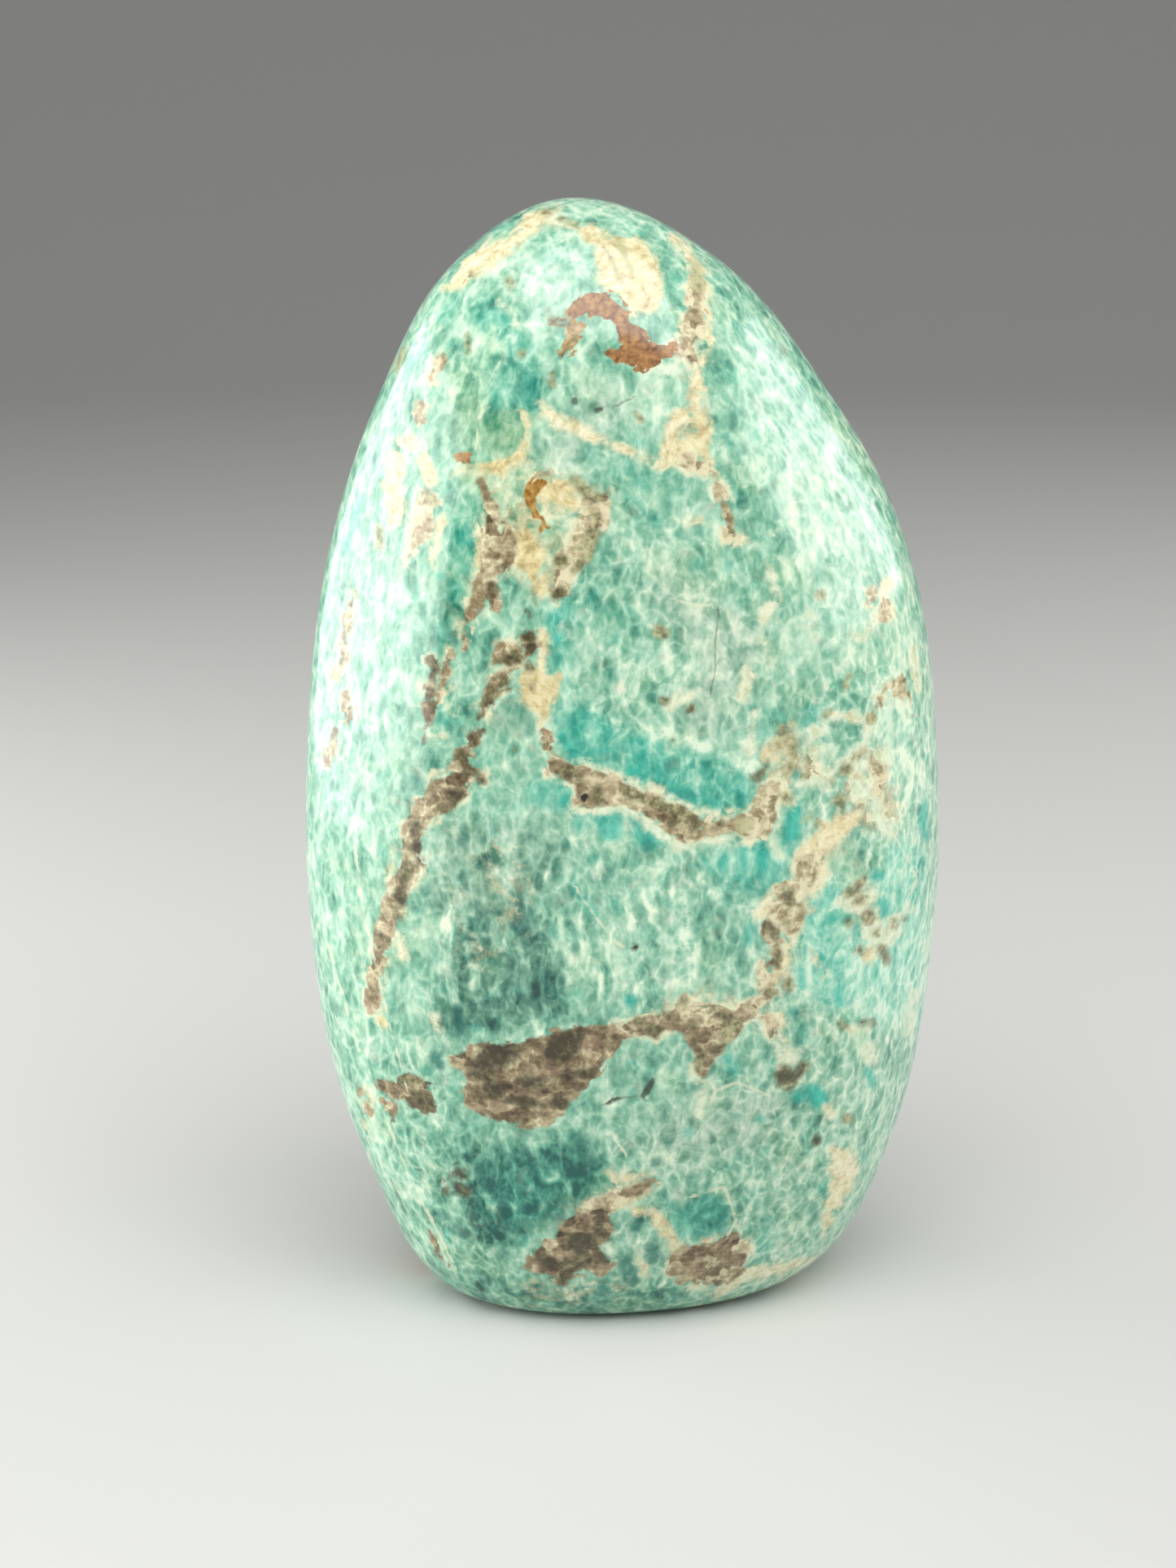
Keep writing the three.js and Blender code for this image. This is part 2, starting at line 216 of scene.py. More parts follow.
# Single grains of brown quartz, in the veins and alone
GRAINS = {
    "bevel 5": Mark([(466, 648, 4), (466, 672, 4)], 0.3),
    "crown seam 1": Mark([(668, 262, 3), (684, 258, 3)], 0.3),
    "crown seam 2": Mark([(690, 268, 3), (708, 277, 3)], 0.3),
    "patch seam": Mark([(741, 302, 2), (752, 320, 2), (763, 346, 2)], 0.3),
    "band fleck": Mark([(580, 338, 4)], 0.4),
    "patch spots": Mark([(760, 296, 3), (778, 335, 3)], 0.1),
    "rust tip": Mark([(678, 394, 5), (696, 396, 4)], 0.65),
    "branch grain 1": Mark([(705, 417, 3)], 0.8),
    "branch grain 2": Mark([(697, 430, 4), (690, 438, 3)], 0.6),
    "vein grain 1": Mark([(855, 328, 6), (859, 352, 7)], 0.15),
    "vein grain 2": Mark([(838, 418, 4)], 0.5),
    "left grain": Mark([(575, 412, 3), (575, 434, 3)], 0.45),
    "upper grain": Mark([(641, 435, 4)], 0.4),
    "upper speck": Mark([(679, 458, 3), (679, 474, 3)], 0.5),
    "grey grain": Mark([(627, 346, 6)], 0.2),
    "edge line 1": Mark([(495, 430, 2), (487, 455, 2)], 0.25, True),
    "bevel grain": Mark([(524, 604, 5), (533, 620, 5)], 0.3),
    "orange point": Mark([(658, 667, 3)], 0.9),
    "column grain 1": Mark([(617, 642, 3)], 1.0),
    "column grain 2": Mark([(621, 695, 4)], 0.8),
    "bed grain 1": Mark([(706, 590, 4), (722, 606, 6)], 0.4),
    "bed grain 2": Mark([(733, 612, 6)], 0.45),
    "bed grain 3": Mark([(731, 636, 6)], 0.4),
    "bed grain 4": Mark([(728, 654, 6), (716, 672, 5)], 0.4),
    "bed grain 5": Mark([(690, 690, 7)], 0.5),
    "bed grain 6": Mark([(684, 733, 7), (690, 728, 6)], 0.75),
    "bed edge": Mark([(737, 656, 2), (720, 686, 4), (706, 702, 3)], 0.45),
    "slab smudge": Mark([(781, 507, 3), (789, 516, 4)], 0.3),
    "spot 1": Mark([(810, 776, 7), (816, 779, 6)], 0.35),
    "spot 2": Mark([(816, 860, 6)], 0.8),
    "spot 3": Mark([(849, 872, 7)], 0.65),
    "spot 4": Mark([(828, 910, 3)], 0.9),
    "spot 5": Mark([(1010, 731, 7)], 0.4),
    "right tick": Mark([(1044, 831, 4), (1036, 843, 3)], 0.35),
    "lobe grain": Mark([(601, 719, 4), (606, 728, 4)], 0.95),
    "wedge cap": Mark([(524, 859, 3), (533, 865, 3)], 0.85),
    "block grain": Mark([(531, 811, 6), (534, 822, 5)], 0.75),
    "head grain 1": Mark([(648, 780, 7), (655, 780, 6)], 0.85),
    "head grain 2": Mark([(653, 797, 7)], 1.0),
    "head grain 3": Mark([(650, 820, 5)], 0.55),
    "knob grain": Mark([(624, 812, 6), (635, 806, 7)], 0.75),
    "knob side": Mark([(611, 812, 5)], 0.65),
    "upper grain 1": Mark([(618, 838, 8), (624, 846, 4)], 0.7),
    "upper grain 2": Mark([(603, 854, 6), (596, 864, 6)], 0.85),
    "upper grain 3": Mark([(592, 874, 5), (588, 884, 3)], 1.0),
    "neck grain 1": Mark([(596, 899, 3), (586, 897, 4)], 1.0),
    "neck grain 2": Mark([(580, 908, 5), (583, 916, 3)], 0.95),
    "bulge grain 1": Mark([(566, 928, 8), (573, 936, 5)], 0.75),
    "bulge grain 2": Mark([(570, 951, 5), (582, 948, 4), (592, 960, 3)], 1.0),
    "bulge grain 3": Mark([(553, 976, 6), (564, 975, 6), (556, 988, 6), (553, 996, 3)], 0.9),
    "bulge grain 4": Mark([(541, 993, 5)], 0.5),
    "long grain 1": Mark([(510, 1013, 5), (511, 1022, 6)], 0.85),
    "long grain 2": Mark([(513, 1036, 6), (511, 1045, 5)], 0.95),
    "long grain 3": Mark([(514, 1052, 3), (520, 1060, 3)], 1.0),
    "long grain 4": Mark([(502, 1066, 6), (496, 1082, 5)], 0.7),
    "long grain 5": Mark([(489, 1098, 6), (493, 1108, 6)], 1.0),
    "long grain 6": Mark([(488, 1120, 3), (493, 1130, 3)], 0.5),
    "long grain 7": Mark([(466, 1148, 2), (474, 1156, 3)], 0.75),
    "green speck": Mark([(654, 844, 3)], 0.6),
    "pink speck": Mark([(633, 919, 3)], 0.45),
    "middle grain 1": Mark([(683, 950), (696, 940), (709, 944), (703, 958), (692, 956)], 0.9),
    "middle grain 2": Mark([(713, 953, 5), (712, 966, 4)], 0.55),
    "middle grain 3": Mark([(735, 972, 5), (735, 984, 6)], 0.6),
    "middle grain 4": Mark([(768, 970, 5), (788, 980, 6)], 0.6),
    "middle grain 5": Mark([(804, 986, 6), (838, 1000, 8)], 0.5),
    "middle grain 6": Mark([(825, 1012, 5)], 0.7),
    "middle grain 7": Mark([(846, 1003, 4), (854, 1016, 6)], 0.65),
    "middle grain 8": Mark([(886, 1010, 6)], 0.7),
    "middle grain 9": Mark([(912, 1014, 10)], 0.05),
    "middle grain 10": Mark([(922, 955), (931, 947), (946, 933), (942, 955), (932, 963)], 0.7),
    "network grain 1": Mark([(962, 896, 4), (957, 914, 5)], 0.3),
    "network grain 2": Mark([(970, 908, 5), (974, 930, 5), (969, 950, 4)], 0.3),
    "network grain 3": Mark([(966, 982, 7)], 0.35),
    "network grain 4": Mark([(1030, 955), (1032, 945), (1046, 938), (1043, 953)], 0.5),
    "network grain 5": Mark([(1052, 929, 4), (1062, 922, 3)], 0.25),
    "network grain 6": Mark(
        [(1022, 986), (1030, 973), (1042, 979), (1040, 996), (1036, 1003), (1030, 991)], 0.45),
    "network grain 7": Mark([(1003, 1012, 5)], 0.6),
    "network grain 8": Mark([(984, 1009, 2), (998, 1002, 2)], 0.2),
    "network grain 12": Mark([(1009, 882, 4), (1018, 876, 3)], 0.25),
    "wedge tail": Mark([(1079, 864, 3), (1069, 885, 3)], 0.35, True),
    "right vein grain 2": Mark([(984, 1062, 5)], 0.3),
    "right vein grain 3": Mark([(970, 1100, 7), (970, 1112, 5)], 0.6),
    "right vein grain 4": Mark([(968, 1134, 6)], 0.45),
    "right vein grain 5": Mark([(942, 1137, 5), (954, 1150, 5)], 0.75),
    "right vein grain 6": Mark([(954, 1172, 6), (953, 1184, 6)], 0.65),
    "right vein grain 7": Mark([(946, 1220, 7)], 0.55),
    "right vein grain 8": Mark([(968, 1210, 9)], 0.55),
    "knot grain 1": Mark([(1042, 1099, 4), (1052, 1090, 4), (1063, 1079, 3)], 0.5),
    "knot grain 2": Mark([(1056, 1106, 6)], 0.45),
    "knot grain 3": Mark([(1067, 1126, 8)], 0.5),
    "knot grain 4": Mark([(1043, 1133, 6)], 0.45),
    "knot grain 5": Mark([(1077, 1147, 4)], 0.4),
    "knot grain 6": Mark([(1057, 1168, 6)], 0.5),
    "knot grain 7": Mark([(1084, 1167, 6), (1089, 1180, 5)], 0.6),
    "knot grain 8": Mark([(1100, 1136, 5)], 0.5),
    "knot grain 9": Mark([(1113, 1129, 4)], 0.5),
    "low grain 1": Mark([(1036, 1258, 6)], 0.6),
    "low grain 2": Mark([(1060, 1259, 4), (1073, 1257, 4)], 0.6),
    "low grain 3": Mark([(1042, 1375, 6)], 0.4),
    "low grain 4": Mark([(1004, 1402, 5)], 0.75),
    "lens grain 1": Mark(
        [(600, 1283), (634, 1281), (643, 1290), (634, 1300), (627, 1299), (624, 1311), (577, 1314),
         (586, 1300), (590, 1290)], 1.05),
    "lens grain 2": Mark(
        [(665, 1291), (680, 1273), (716, 1260), (717, 1273), (709, 1290), (699, 1303), (685, 1304),
         (670, 1299)], 1.05),
    "lens grain 3": Mark([(618, 1353), (634, 1345), (655, 1348), (669, 1359), (640, 1360)], 0.95),
    "lens grain 4": Mark([(692, 1318), (736, 1311), (726, 1325), (702, 1323)], 0.95),
    "lens grain 5": Mark([(578, 1321, 4), (606, 1318, 4)], 0.95),
    "lens grain 6": Mark([(606, 1338, 12)], 0.95),
    "lens grain 7": Mark([(684, 1352, 6), (694, 1356, 5)], 0.95),
    "lens grain 8": Mark([(640, 1330, 7), (662, 1332, 6)], 0.95),
    "tail grain 1": Mark([(786, 1272), (800, 1258), (816, 1262), (809, 1277)], 0.75),
    "tail grain 2": Mark([(818, 1247, 6)], 0.8),
    "tail grain 3": Mark([(784, 1255, 7)], 0.55),
    "tail grain 4": Mark([(850, 1259, 5)], 0.55),
    "tail grain 5": Mark([(850, 1270), (858, 1272), (859, 1285), (850, 1289)], 0.75),
    "tail grain 6": Mark([(884, 1246, 4), (895, 1252, 5)], 0.75),
    "tail grain 7": Mark([(908, 1259, 7)], 0.45),
    "tail grain 8": Mark([(894, 1271, 9)], 0.35),
    "tail grain 9": Mark([(872, 1290), (885, 1280), (891, 1290), (880, 1300)], 0.7),
    "tail grain 10": Mark([(860, 1301, 7), (858, 1314, 5)], 0.6),
    "tail grain 11": Mark([(840, 1231, 4)], 0.55),
    "tail grain 12": Mark([(952, 1271, 5)], 0.65),
    "lower left grain 1": Mark(
        [(506, 1341), (520, 1345), (532, 1354), (536, 1368), (520, 1367), (508, 1354)], 0.8),
    "lower left grain 2": Mark([(494, 1326, 6), (512, 1328, 5)], 0.5),
    "dim grain 1": Mark(
        [(552, 1441), (560, 1432), (578, 1435), (572, 1449), (560, 1449), (543, 1453)], 0.95),
    "dim grain 2": Mark([(562, 1459, 7), (572, 1466, 6)], 0.95),
    "dim grain 3": Mark([(547, 1463, 6)], 0.95),
    "foot grain 1": Mark(
        [(698, 1520), (716, 1513), (731, 1518), (729, 1534), (714, 1547), (703, 1534)], 1.1),
    "foot grain 2": Mark([(726, 1508), (740, 1498), (745, 1506), (732, 1512)], 0.9),
    "foot grain 3": Mark([(730, 1512), (742, 1513), (755, 1522), (743, 1522)], 1.1),
    "foot grain 4": Mark([(731, 1533), (742, 1541), (752, 1553), (738, 1550)], 1.15),
    "foot grain 5": Mark([(655, 1540), (672, 1543), (685, 1548), (678, 1556), (663, 1551)], 1.15),
    "foot grain 6": Mark([(690, 1572, 5), (722, 1549, 5), (700, 1550, 4), (668, 1562, 4)], 0.85),
    "cavity": Mark(
        [(951, 1318), (962, 1309), (976, 1316), (989, 1299), (996, 1309), (987, 1327), (967, 1340),
         (955, 1335)], 0.6),
}

# Cream to golden feldspar
CREAM = {
    "crown band": Mark(
        [(544, 355), (553, 340), (572, 319), (603, 296), (628, 291), (641, 273), (643, 262), (666, 256),
         (690, 258), (670, 271), (654, 290), (633, 304), (620, 315), (601, 330), (582, 342), (567, 359)],
        0.3, True),
    "crown patch": Mark(
        [(708, 285), (729, 283), (750, 290), (774, 288), (797, 300), (803, 313), (811, 332), (815, 349),
         (812, 370), (801, 384), (782, 388), (767, 380), (763, 365), (750, 355), (736, 344), (729, 328),
         (729, 304), (715, 298)], 0.45, True),
    "crown patch gold": Mark([(740, 338, 5), (749, 347, 5)], 0.9),
    "right crown thread": Mark([(830, 292, 5), (843, 307, 6), (849, 319, 6), (862, 334, 4)], 0.3, True),
    "orange arm": Mark([(836, 512, 11), (826, 535, 9), (822, 560, 12), (846, 548, 14)], 0.35),
    "green cell right": Mark([(643, 510, 3), (649, 528, 4), (645, 548, 4), (628, 563, 4)], 0.6),
    "stain field": Mark([(588, 570, 6), (612, 573, 8), (637, 560, 5)], 0.75),
    "stain patch": Mark([(664, 600, 12), (690, 606, 14), (704, 620, 6)], 0.65),
    "pale bed": Mark(
        [(640, 640), (652, 646), (661, 660), (670, 678), (663, 706), (671, 728), (658, 728), (647, 703),
         (630, 694), (634, 662)], 0.75),
    "pale bed spot": Mark([(668, 712, 8), (662, 724, 6)], 0.55),
    "left vein border": Mark([(594, 656, 5), (592, 680, 6), (585, 704, 5)], 0.5),
    "middle patch": Mark(
        [(638, 826), (662, 818), (688, 832), (684, 862), (676, 884), (663, 895), (657, 880), (642, 862)],
        0.6),
    "foot rim cream": Mark([(880, 1586, 6), (928, 1564, 9), (975, 1556, 6), (1000, 1549, 4)], 0.15, True),
    "right low patch": Mark(
        [(1020, 1408), (1050, 1412), (1056, 1440), (1040, 1468), (1022, 1500), (1012, 1520),
         (1010, 1496), (1022, 1456)], 0.2, True),
    "cream drop 1": Mark([(919, 822, 6), (915, 858, 6)], 0.1),
    "cream drop 2": Mark([(923, 876, 5), (923, 926, 5)], 0.08),
    "cream drop 3": Mark([(822, 869, 6), (840, 860, 5), (857, 849, 4)], 0.1),
    "bevel cream 1": Mark([(486, 566, 10), (484, 600, 12), (487, 640, 9)], 0.45),
    "bevel cream 2": Mark([(522, 566, 8), (530, 592, 9)], 0.4),
    "bevel cream 3": Mark([(541, 640, 5), (533, 690, 4)], 0.4),
    "streak 2": Mark([(873, 1326, 3), (864, 1348, 5), (858, 1374, 4)], 0.05),
    "golden tip": Mark([(469, 1238, 4), (470, 1256, 6)], 0.6, True),
    "crown thread": Mark(
        [(676, 272, 5), (694, 276, 4), (710, 285, 5), (730, 281, 4), (745, 287, 5)], 0.3, True),
    "crown loop": Mark([(634, 397, 2), (625, 382, 2), (614, 370, 2)], 0.05),
    "right vein edge": Mark([(868, 380, 3), (874, 420, 4), (862, 454, 5)], 0.3, True),
    "right vein drop": Mark([(843, 434, 6), (856, 456, 8), (862, 478, 7)], 0.35, True),
    "upper right bed": Mark(
        [(858, 486, 7), (856, 505, 8), (864, 530, 10), (862, 552, 7), (872, 566, 4)], 0.45, True),
    "slab edge": Mark([(798, 450, 7), (826, 456, 7)], 0.0),
    "cross line": Mark(
        [(666, 499, 5), (690, 520, 8), (722, 535, 7), (750, 545, 5), (776, 556, 6), (801, 568, 6),
         (830, 571, 4)], 0.2),
    "cross line end": Mark(
        [(828, 571, 3), (845, 578, 3), (862, 582, 3), (876, 592, 3), (877, 622, 2)], 0.0),
    "descender rim": Mark([(893, 664, 4), (915, 662, 4), (906, 640, 3)], 0.15),
    "cream spot 1": Mark([(846, 642, 5), (862, 640, 5)], 0.2),
    "pale column 1": Mark([(961, 588, 3), (970, 612, 4), (976, 642, 4)], 0.0),
    "pale column 2": Mark([(955, 655, 6)], 0.0),
    "pale column 3": Mark([(945, 698, 3), (953, 735, 4), (940, 758, 7), (934, 770, 3)], 0.1),
    "pale column 4": Mark([(934, 772, 3), (938, 795, 5), (953, 812, 3), (946, 826, 2)], 0.05),
    "pale column 5": Mark([(994, 752, 3), (1000, 772, 3), (1006, 786, 3)], 0.0),
    "crest cream": Mark([(1092, 716, 9), (1084, 732, 6), (1094, 752, 6)], 0.25),
    "crest thread": Mark([(1079, 746, 3), (1066, 772, 4), (1059, 786, 5), (1049, 779, 3)], 0.1),
    "wedge cream": Mark([(1124, 800, 4), (1127, 845, 4)], 0.1, True),
    "cell ring": Mark(
        [(1010, 900, 3), (1016, 882, 5), (1038, 876, 5), (1060, 884, 5), (1066, 902, 5), (1058, 920, 4),
         (1036, 932, 5), (1014, 922, 4)], 0.05),
    "cell ring top": Mark([(1026, 876, 3), (1052, 882, 4)], 0.45),
    "network cream 1": Mark([(936, 938, 3), (941, 922, 5), (951, 931, 6), (966, 922, 3)], 0.35),
    "network cream 2": Mark([(1001, 900, 6), (993, 912, 4), (987, 930, 4), (987, 950, 5)], 0.08),
    "network cream 3": Mark(
        [(980, 962, 5), (1000, 962, 6), (1014, 962, 6), (1020, 952, 6), (1030, 945, 5)], 0.05),
    "network cream 4": Mark([(950, 940, 4), (956, 962, 4)], 0.05),
    "network cream 5": Mark([(1046, 936, 6), (1064, 940, 8), (1068, 926, 6)], 0.06),
    "network cream 6": Mark([(1052, 965, 9), (1060, 980, 6)], 0.05),
    "network cream 7": Mark([(1073, 962, 5), (1076, 990, 6), (1082, 1012, 7), (1093, 1024, 6)], 0.04),
    "white dash": Mark([(974, 904, 2), (990, 898, 3), (1002, 899, 3)], 0.0),
    "right vein bed": Mark(
        [(1058, 1000, 6), (1036, 1012, 12), (1014, 1028, 14), (996, 1044, 13), (984, 1058, 9)],
        0.35, True),
    "right vein left": Mark([(948, 1036, 5), (962, 1052, 6), (974, 1062, 5)], 0.05, True),
    "right vein side": Mark([(1006, 1056, 6), (1012, 1072, 8), (1006, 1082, 5)], 0.2, True),
    "right vein rim": Mark([(952, 1092, 3), (944, 1108, 6), (932, 1124, 8), (944, 1126, 6)], 0.2, True),
    "right vein low": Mark([(966, 1152, 4), (980, 1140, 7), (962, 1186, 6), (966, 1198, 6)], 0.2),
    "junction cream": Mark([(956, 1250, 6), (958, 1272, 6), (966, 1284, 6)], 0.3),
    "knot ring": Mark(
        [(1034, 1108, 6), (1044, 1119, 5), (1060, 1119, 7), (1074, 1104, 6), (1070, 1092, 4),
         (1056, 1089, 5)], 0.1),
    "knot tail": Mark([(1068, 1146, 8), (1082, 1156, 9), (1098, 1148, 6), (1112, 1136, 4)], 0.05),
    "knot line": Mark([(1090, 1136, 3), (1104, 1127, 3), (1120, 1117, 4)], 0.1),
    "knot core": Mark([(1070, 1176, 9)], 0.35),
    "low thread": Mark([(998, 1170, 3), (1006, 1186, 4), (1014, 1194, 5)], 0.2),
    "edge cream": Mark([(1126, 1222, 6), (1120, 1240, 4), (1117, 1268, 6)], 0.03, True),
    "white chip": Mark(
        [(950, 1286), (966, 1277), (991, 1295), (976, 1313), (962, 1305), (950, 1292)], 0.06),
    "white peak": Mark([(922, 1250, 5), (932, 1244, 4), (938, 1262, 5), (950, 1278, 5)], 0.0),
    "pale spot": Mark(
        [(1055, 1286), (1064, 1274), (1077, 1288), (1079, 1305), (1067, 1309), (1057, 1296)], 0.05),
    "low cream": Mark([(1046, 1264, 5), (1066, 1264, 5)], 0.1),
    "turquoise side": Mark([(1018, 1366, 7)], 0.15),
    "middle rim top": Mark(
        [(718, 940, 4), (750, 951, 5), (784, 963, 5), (820, 976, 5), (850, 992, 5), (882, 1001, 4)],
        0.1),
    "middle rim low": Mark(
        [(702, 1001, 4), (730, 998, 5), (765, 991, 5), (790, 1006, 6), (812, 1024, 7), (840, 1042, 7),
         (866, 1035, 5), (900, 1030, 4), (930, 1036, 4)], 0.05),
    "long rim 1": Mark([(486, 1040, 4), (478, 1078, 3)], 0.35, True),
    "long rim 2": Mark([(530, 1050, 4), (514, 1072, 6), (505, 1090, 4)], 0.15),
    "long rim 3": Mark([(490, 1150, 4), (494, 1176, 5)], 0.15),
    "head cream": Mark([(664, 780, 6), (668, 800, 8), (664, 820, 7), (672, 834, 6)], 0.4),
    "neck cream": Mark([(604, 872, 5), (598, 892, 4)], 0.15),
    "wedge side": Mark([(544, 862, 4), (556, 874, 4)], 0.3),
    "wedge foot": Mark([(526, 904, 4), (550, 907, 4)], 0.3),
    "streak 3": Mark([(534, 1250, 5), (540, 1264, 4)], 0.1),
    "lens gap": Mark([(672, 1308, 4), (680, 1318, 5)], 0.35),
    "foot cream": Mark([(746, 1438, 4), (758, 1452, 6), (772, 1449, 8), (790, 1446, 4)], 0.3),
    "foot cream thread": Mark(
        [(780, 1489, 3), (802, 1490, 5), (814, 1506, 6), (826, 1524, 6), (832, 1538, 4)], 0.45),
    "foot cream block": Mark([(784, 1546, 5), (792, 1562, 7)], 0.25),
    "foot window": Mark([(734, 1529), (752, 1528), (759, 1544), (751, 1549), (740, 1537)], 0.0),
    "foot spot": Mark([(876, 1568, 5)], 0.1),
}

# Iron stain, red-brown to orange
RUST = {
    "rust patch": Mark(
        [(675, 399), (696, 384), (715, 361), (734, 358), (750, 358), (761, 370), (774, 380), (765, 389),
         (776, 401), (793, 412), (811, 422), (828, 424), (828, 436), (807, 445), (790, 453), (778, 450),
         (763, 443), (744, 433), (750, 427), (763, 422), (757, 408), (755, 395), (740, 387), (729, 382),
         (717, 391), (700, 394), (687, 398)], 1.0, True),
    "rust branch": Mark([(715, 399, 7), (704, 410, 10), (698, 424, 9), (692, 434, 6)], 0.25),
    "orange spot 1": Mark([(562, 561, 6), (576, 560, 7)], 0.55),
    "orange spot 2": Mark([(670, 591, 4), (656, 600, 7), (650, 612, 6), (657, 628, 4)], 0.75),
    "orange spot 3": Mark([(662, 640, 5), (666, 652, 6)], 0.65),
    "orange dot": Mark([(880, 809, 3)], 0.55),
}

# Open pits, and the dark grains that look like them
PITS = {
    "cavity floor": Mark(
        [(955, 1320), (963, 1313), (977, 1320), (988, 1306), (991, 1311), (983, 1324), (967, 1336),
         (958, 1332)], 0.55),
    "crack mouth": Mark([(804, 1326, 3), (801, 1332, 3), (795, 1342, 5), (788, 1350, 2)], 0.8),
    "crack foot": Mark([(744, 1358, 2), (756, 1352, 3), (768, 1349, 2)], 0.8),
    "pit 1": Mark([(718, 981, 6)], 1.0),
    "pit 8": Mark([(706, 493, 5)], 0.7),
    "pit 9": Mark([(733, 504, 4), (738, 504, 4)], 0.8),
    "pit 10": Mark([(782, 1166, 4), (774, 1168, 2)], 0.9),
    "pit 11": Mark([(647, 750, 4), (651, 758, 3)], 0.6),
    "cavity hole": Mark(
        [(960, 1315), (974, 1319), (987, 1305), (985, 1321), (967, 1334), (957, 1326)], 0.25),
}

# How much deeper than usual the blue-green is. The marks low on the foot, where the stone turns down
# towards the floor, also paint its shade into the colour.
DEEP_AND_SHADE = {
    "upper left": Mark([(600, 388, 22)], 0.45),
    "upper field": Mark([(590, 430), (676, 404), (686, 440), (676, 500), (640, 510), (600, 490)], 0.2),
    "green cell": Mark([(588, 505), (640, 498), (650, 530), (643, 560), (612, 572), (590, 555)], 0.35),
    "left column": Mark([(572, 640, 20), (568, 700, 18), (558, 745, 18), (545, 775, 12)], 0.6),
    "left low": Mark([(551, 886, 14)], 0.4),
    "middle field": Mark([(720, 752, 16), (760, 760, 14)], 0.55),
    "right column": Mark([(1070, 1050, 16), (1082, 1090, 14)], 0.1),
    "right low": Mark([(1010, 1180, 24), (1030, 1230, 20)], 0.2),
    "above lens": Mark(
        [(560, 1130), (640, 1100), (700, 1180), (690, 1250), (600, 1270), (530, 1270)], 0.85),
    # Painted shade as well as deep teal: the front of the foot turns down towards the floor
    "foot field": Mark(
        [(560, 1420), (610, 1404), (700, 1404), (745, 1430), (736, 1466), (690, 1490), (670, 1510),
         (600, 1540), (570, 1500)], 1.25),
    "foot cell": Mark([(858, 1492, 26), (880, 1490, 24)], 0.7),
    "left of tail": Mark([(790, 1300, 14), (830, 1290, 12)], 0.1),
    "green field": Mark([(600, 1060, 12)], 1.1),
    "mid patch": Mark(
        [(690, 880), (728, 872), (770, 897), (822, 905), (868, 925), (922, 950), (920, 990), (878, 1000),
         (837, 980), (781, 955), (719, 936), (694, 920)], 0.4),
    "low left field": Mark(
        [(540, 1000), (600, 1010), (690, 1020), (700, 1060), (640, 1130), (520, 1140)], 0.3),
    # Painted shade along the bottom edge of the foot, as well as deep teal
    "foot lower": Mark([(600, 1580, 16), (680, 1595, 12), (820, 1590, 14)], 0.85),
    "stain": Mark([(572, 580, 14), (620, 580, 22), (650, 610, 18), (630, 640, 14)], 0.3),
    "green cell side": Mark([(556, 486), (588, 484), (592, 530), (580, 556), (558, 550)], 0.65),
    "left teal": Mark([(548, 620), (590, 616), (592, 700), (575, 730), (545, 720)], 0.6),
    "stain field": Mark([(560, 568), (650, 560), (700, 600), (690, 700), (600, 700), (590, 620)], 0.3),
    # Painted shade over the whole foot, as well as deep teal
    "foot field wide": Mark(
        [(520, 1390), (600, 1375), (730, 1385), (780, 1430), (740, 1500), (690, 1600), (590, 1590),
         (530, 1500)], 0.35),
}

# Single crystals of deep green feldspar, with clear edges
CELLS = {
    "green point": Mark([(617, 540, 14)], 0.1),
    "green patch": Mark(
        [(612, 866), (630, 856), (650, 866), (661, 894), (654, 905), (630, 909), (611, 892)], 0.4),
    "dark green": Mark([(600, 1062, 11)], 0.75),
    "dark spot 1": Mark([(604, 1118, 8)], 0.8),
    "dark spot 2": Mark([(568, 1032, 6)], 0.8),
    "dark spot 3": Mark([(572, 1090, 5)], 0.7),
    "dark spot 4": Mark([(582, 1112, 5)], 0.7),
    "lens left": Mark([(534, 1300, 8), (541, 1310, 6)], 1.0),
    "above lens 1": Mark([(563, 1240, 6), (566, 1266, 6)], 1.2),
    "above lens 2": Mark([(666, 1228, 5)], 0.8),
    "tail side 2": Mark([(856, 1336, 8)], 0.6),
    "field 1": Mark([(598, 1434, 9), (594, 1440, 6)], 0.5),
    "field 2": Mark([(606, 1462, 5), (618, 1482, 5)], 0.5),
    "field 3": Mark([(722, 1470, 9), (730, 1480, 5)], 0.5),
    "field 4": Mark([(716, 1400, 10), (726, 1430, 9)], 0.5),
    "field 5": Mark([(646, 1392, 8)], 0.5),
    "field 6": Mark([(570, 1520, 6), (562, 1502, 5)], 0.5),
    "field 7": Mark([(690, 1494, 8), (676, 1510, 6)], 0.5),
    "foot cell dark 2": Mark([(880, 1476, 4), (890, 1494, 4)], 0.6),
    "foot cell small": Mark(
        [(791, 1531), (800, 1522), (812, 1530), (813, 1548), (801, 1556), (792, 1546)], 0.8),
    "foot cell 3": Mark([(780, 1508, 9)], 1.0),
    "foot cell 4": Mark([(768, 1556, 11), (774, 1572, 9)], 0.9),
    "cell small 1": Mark([(820, 1404, 7)], 0.9),
    "cell small 5": Mark([(804, 1430, 6)], 0.9),
}

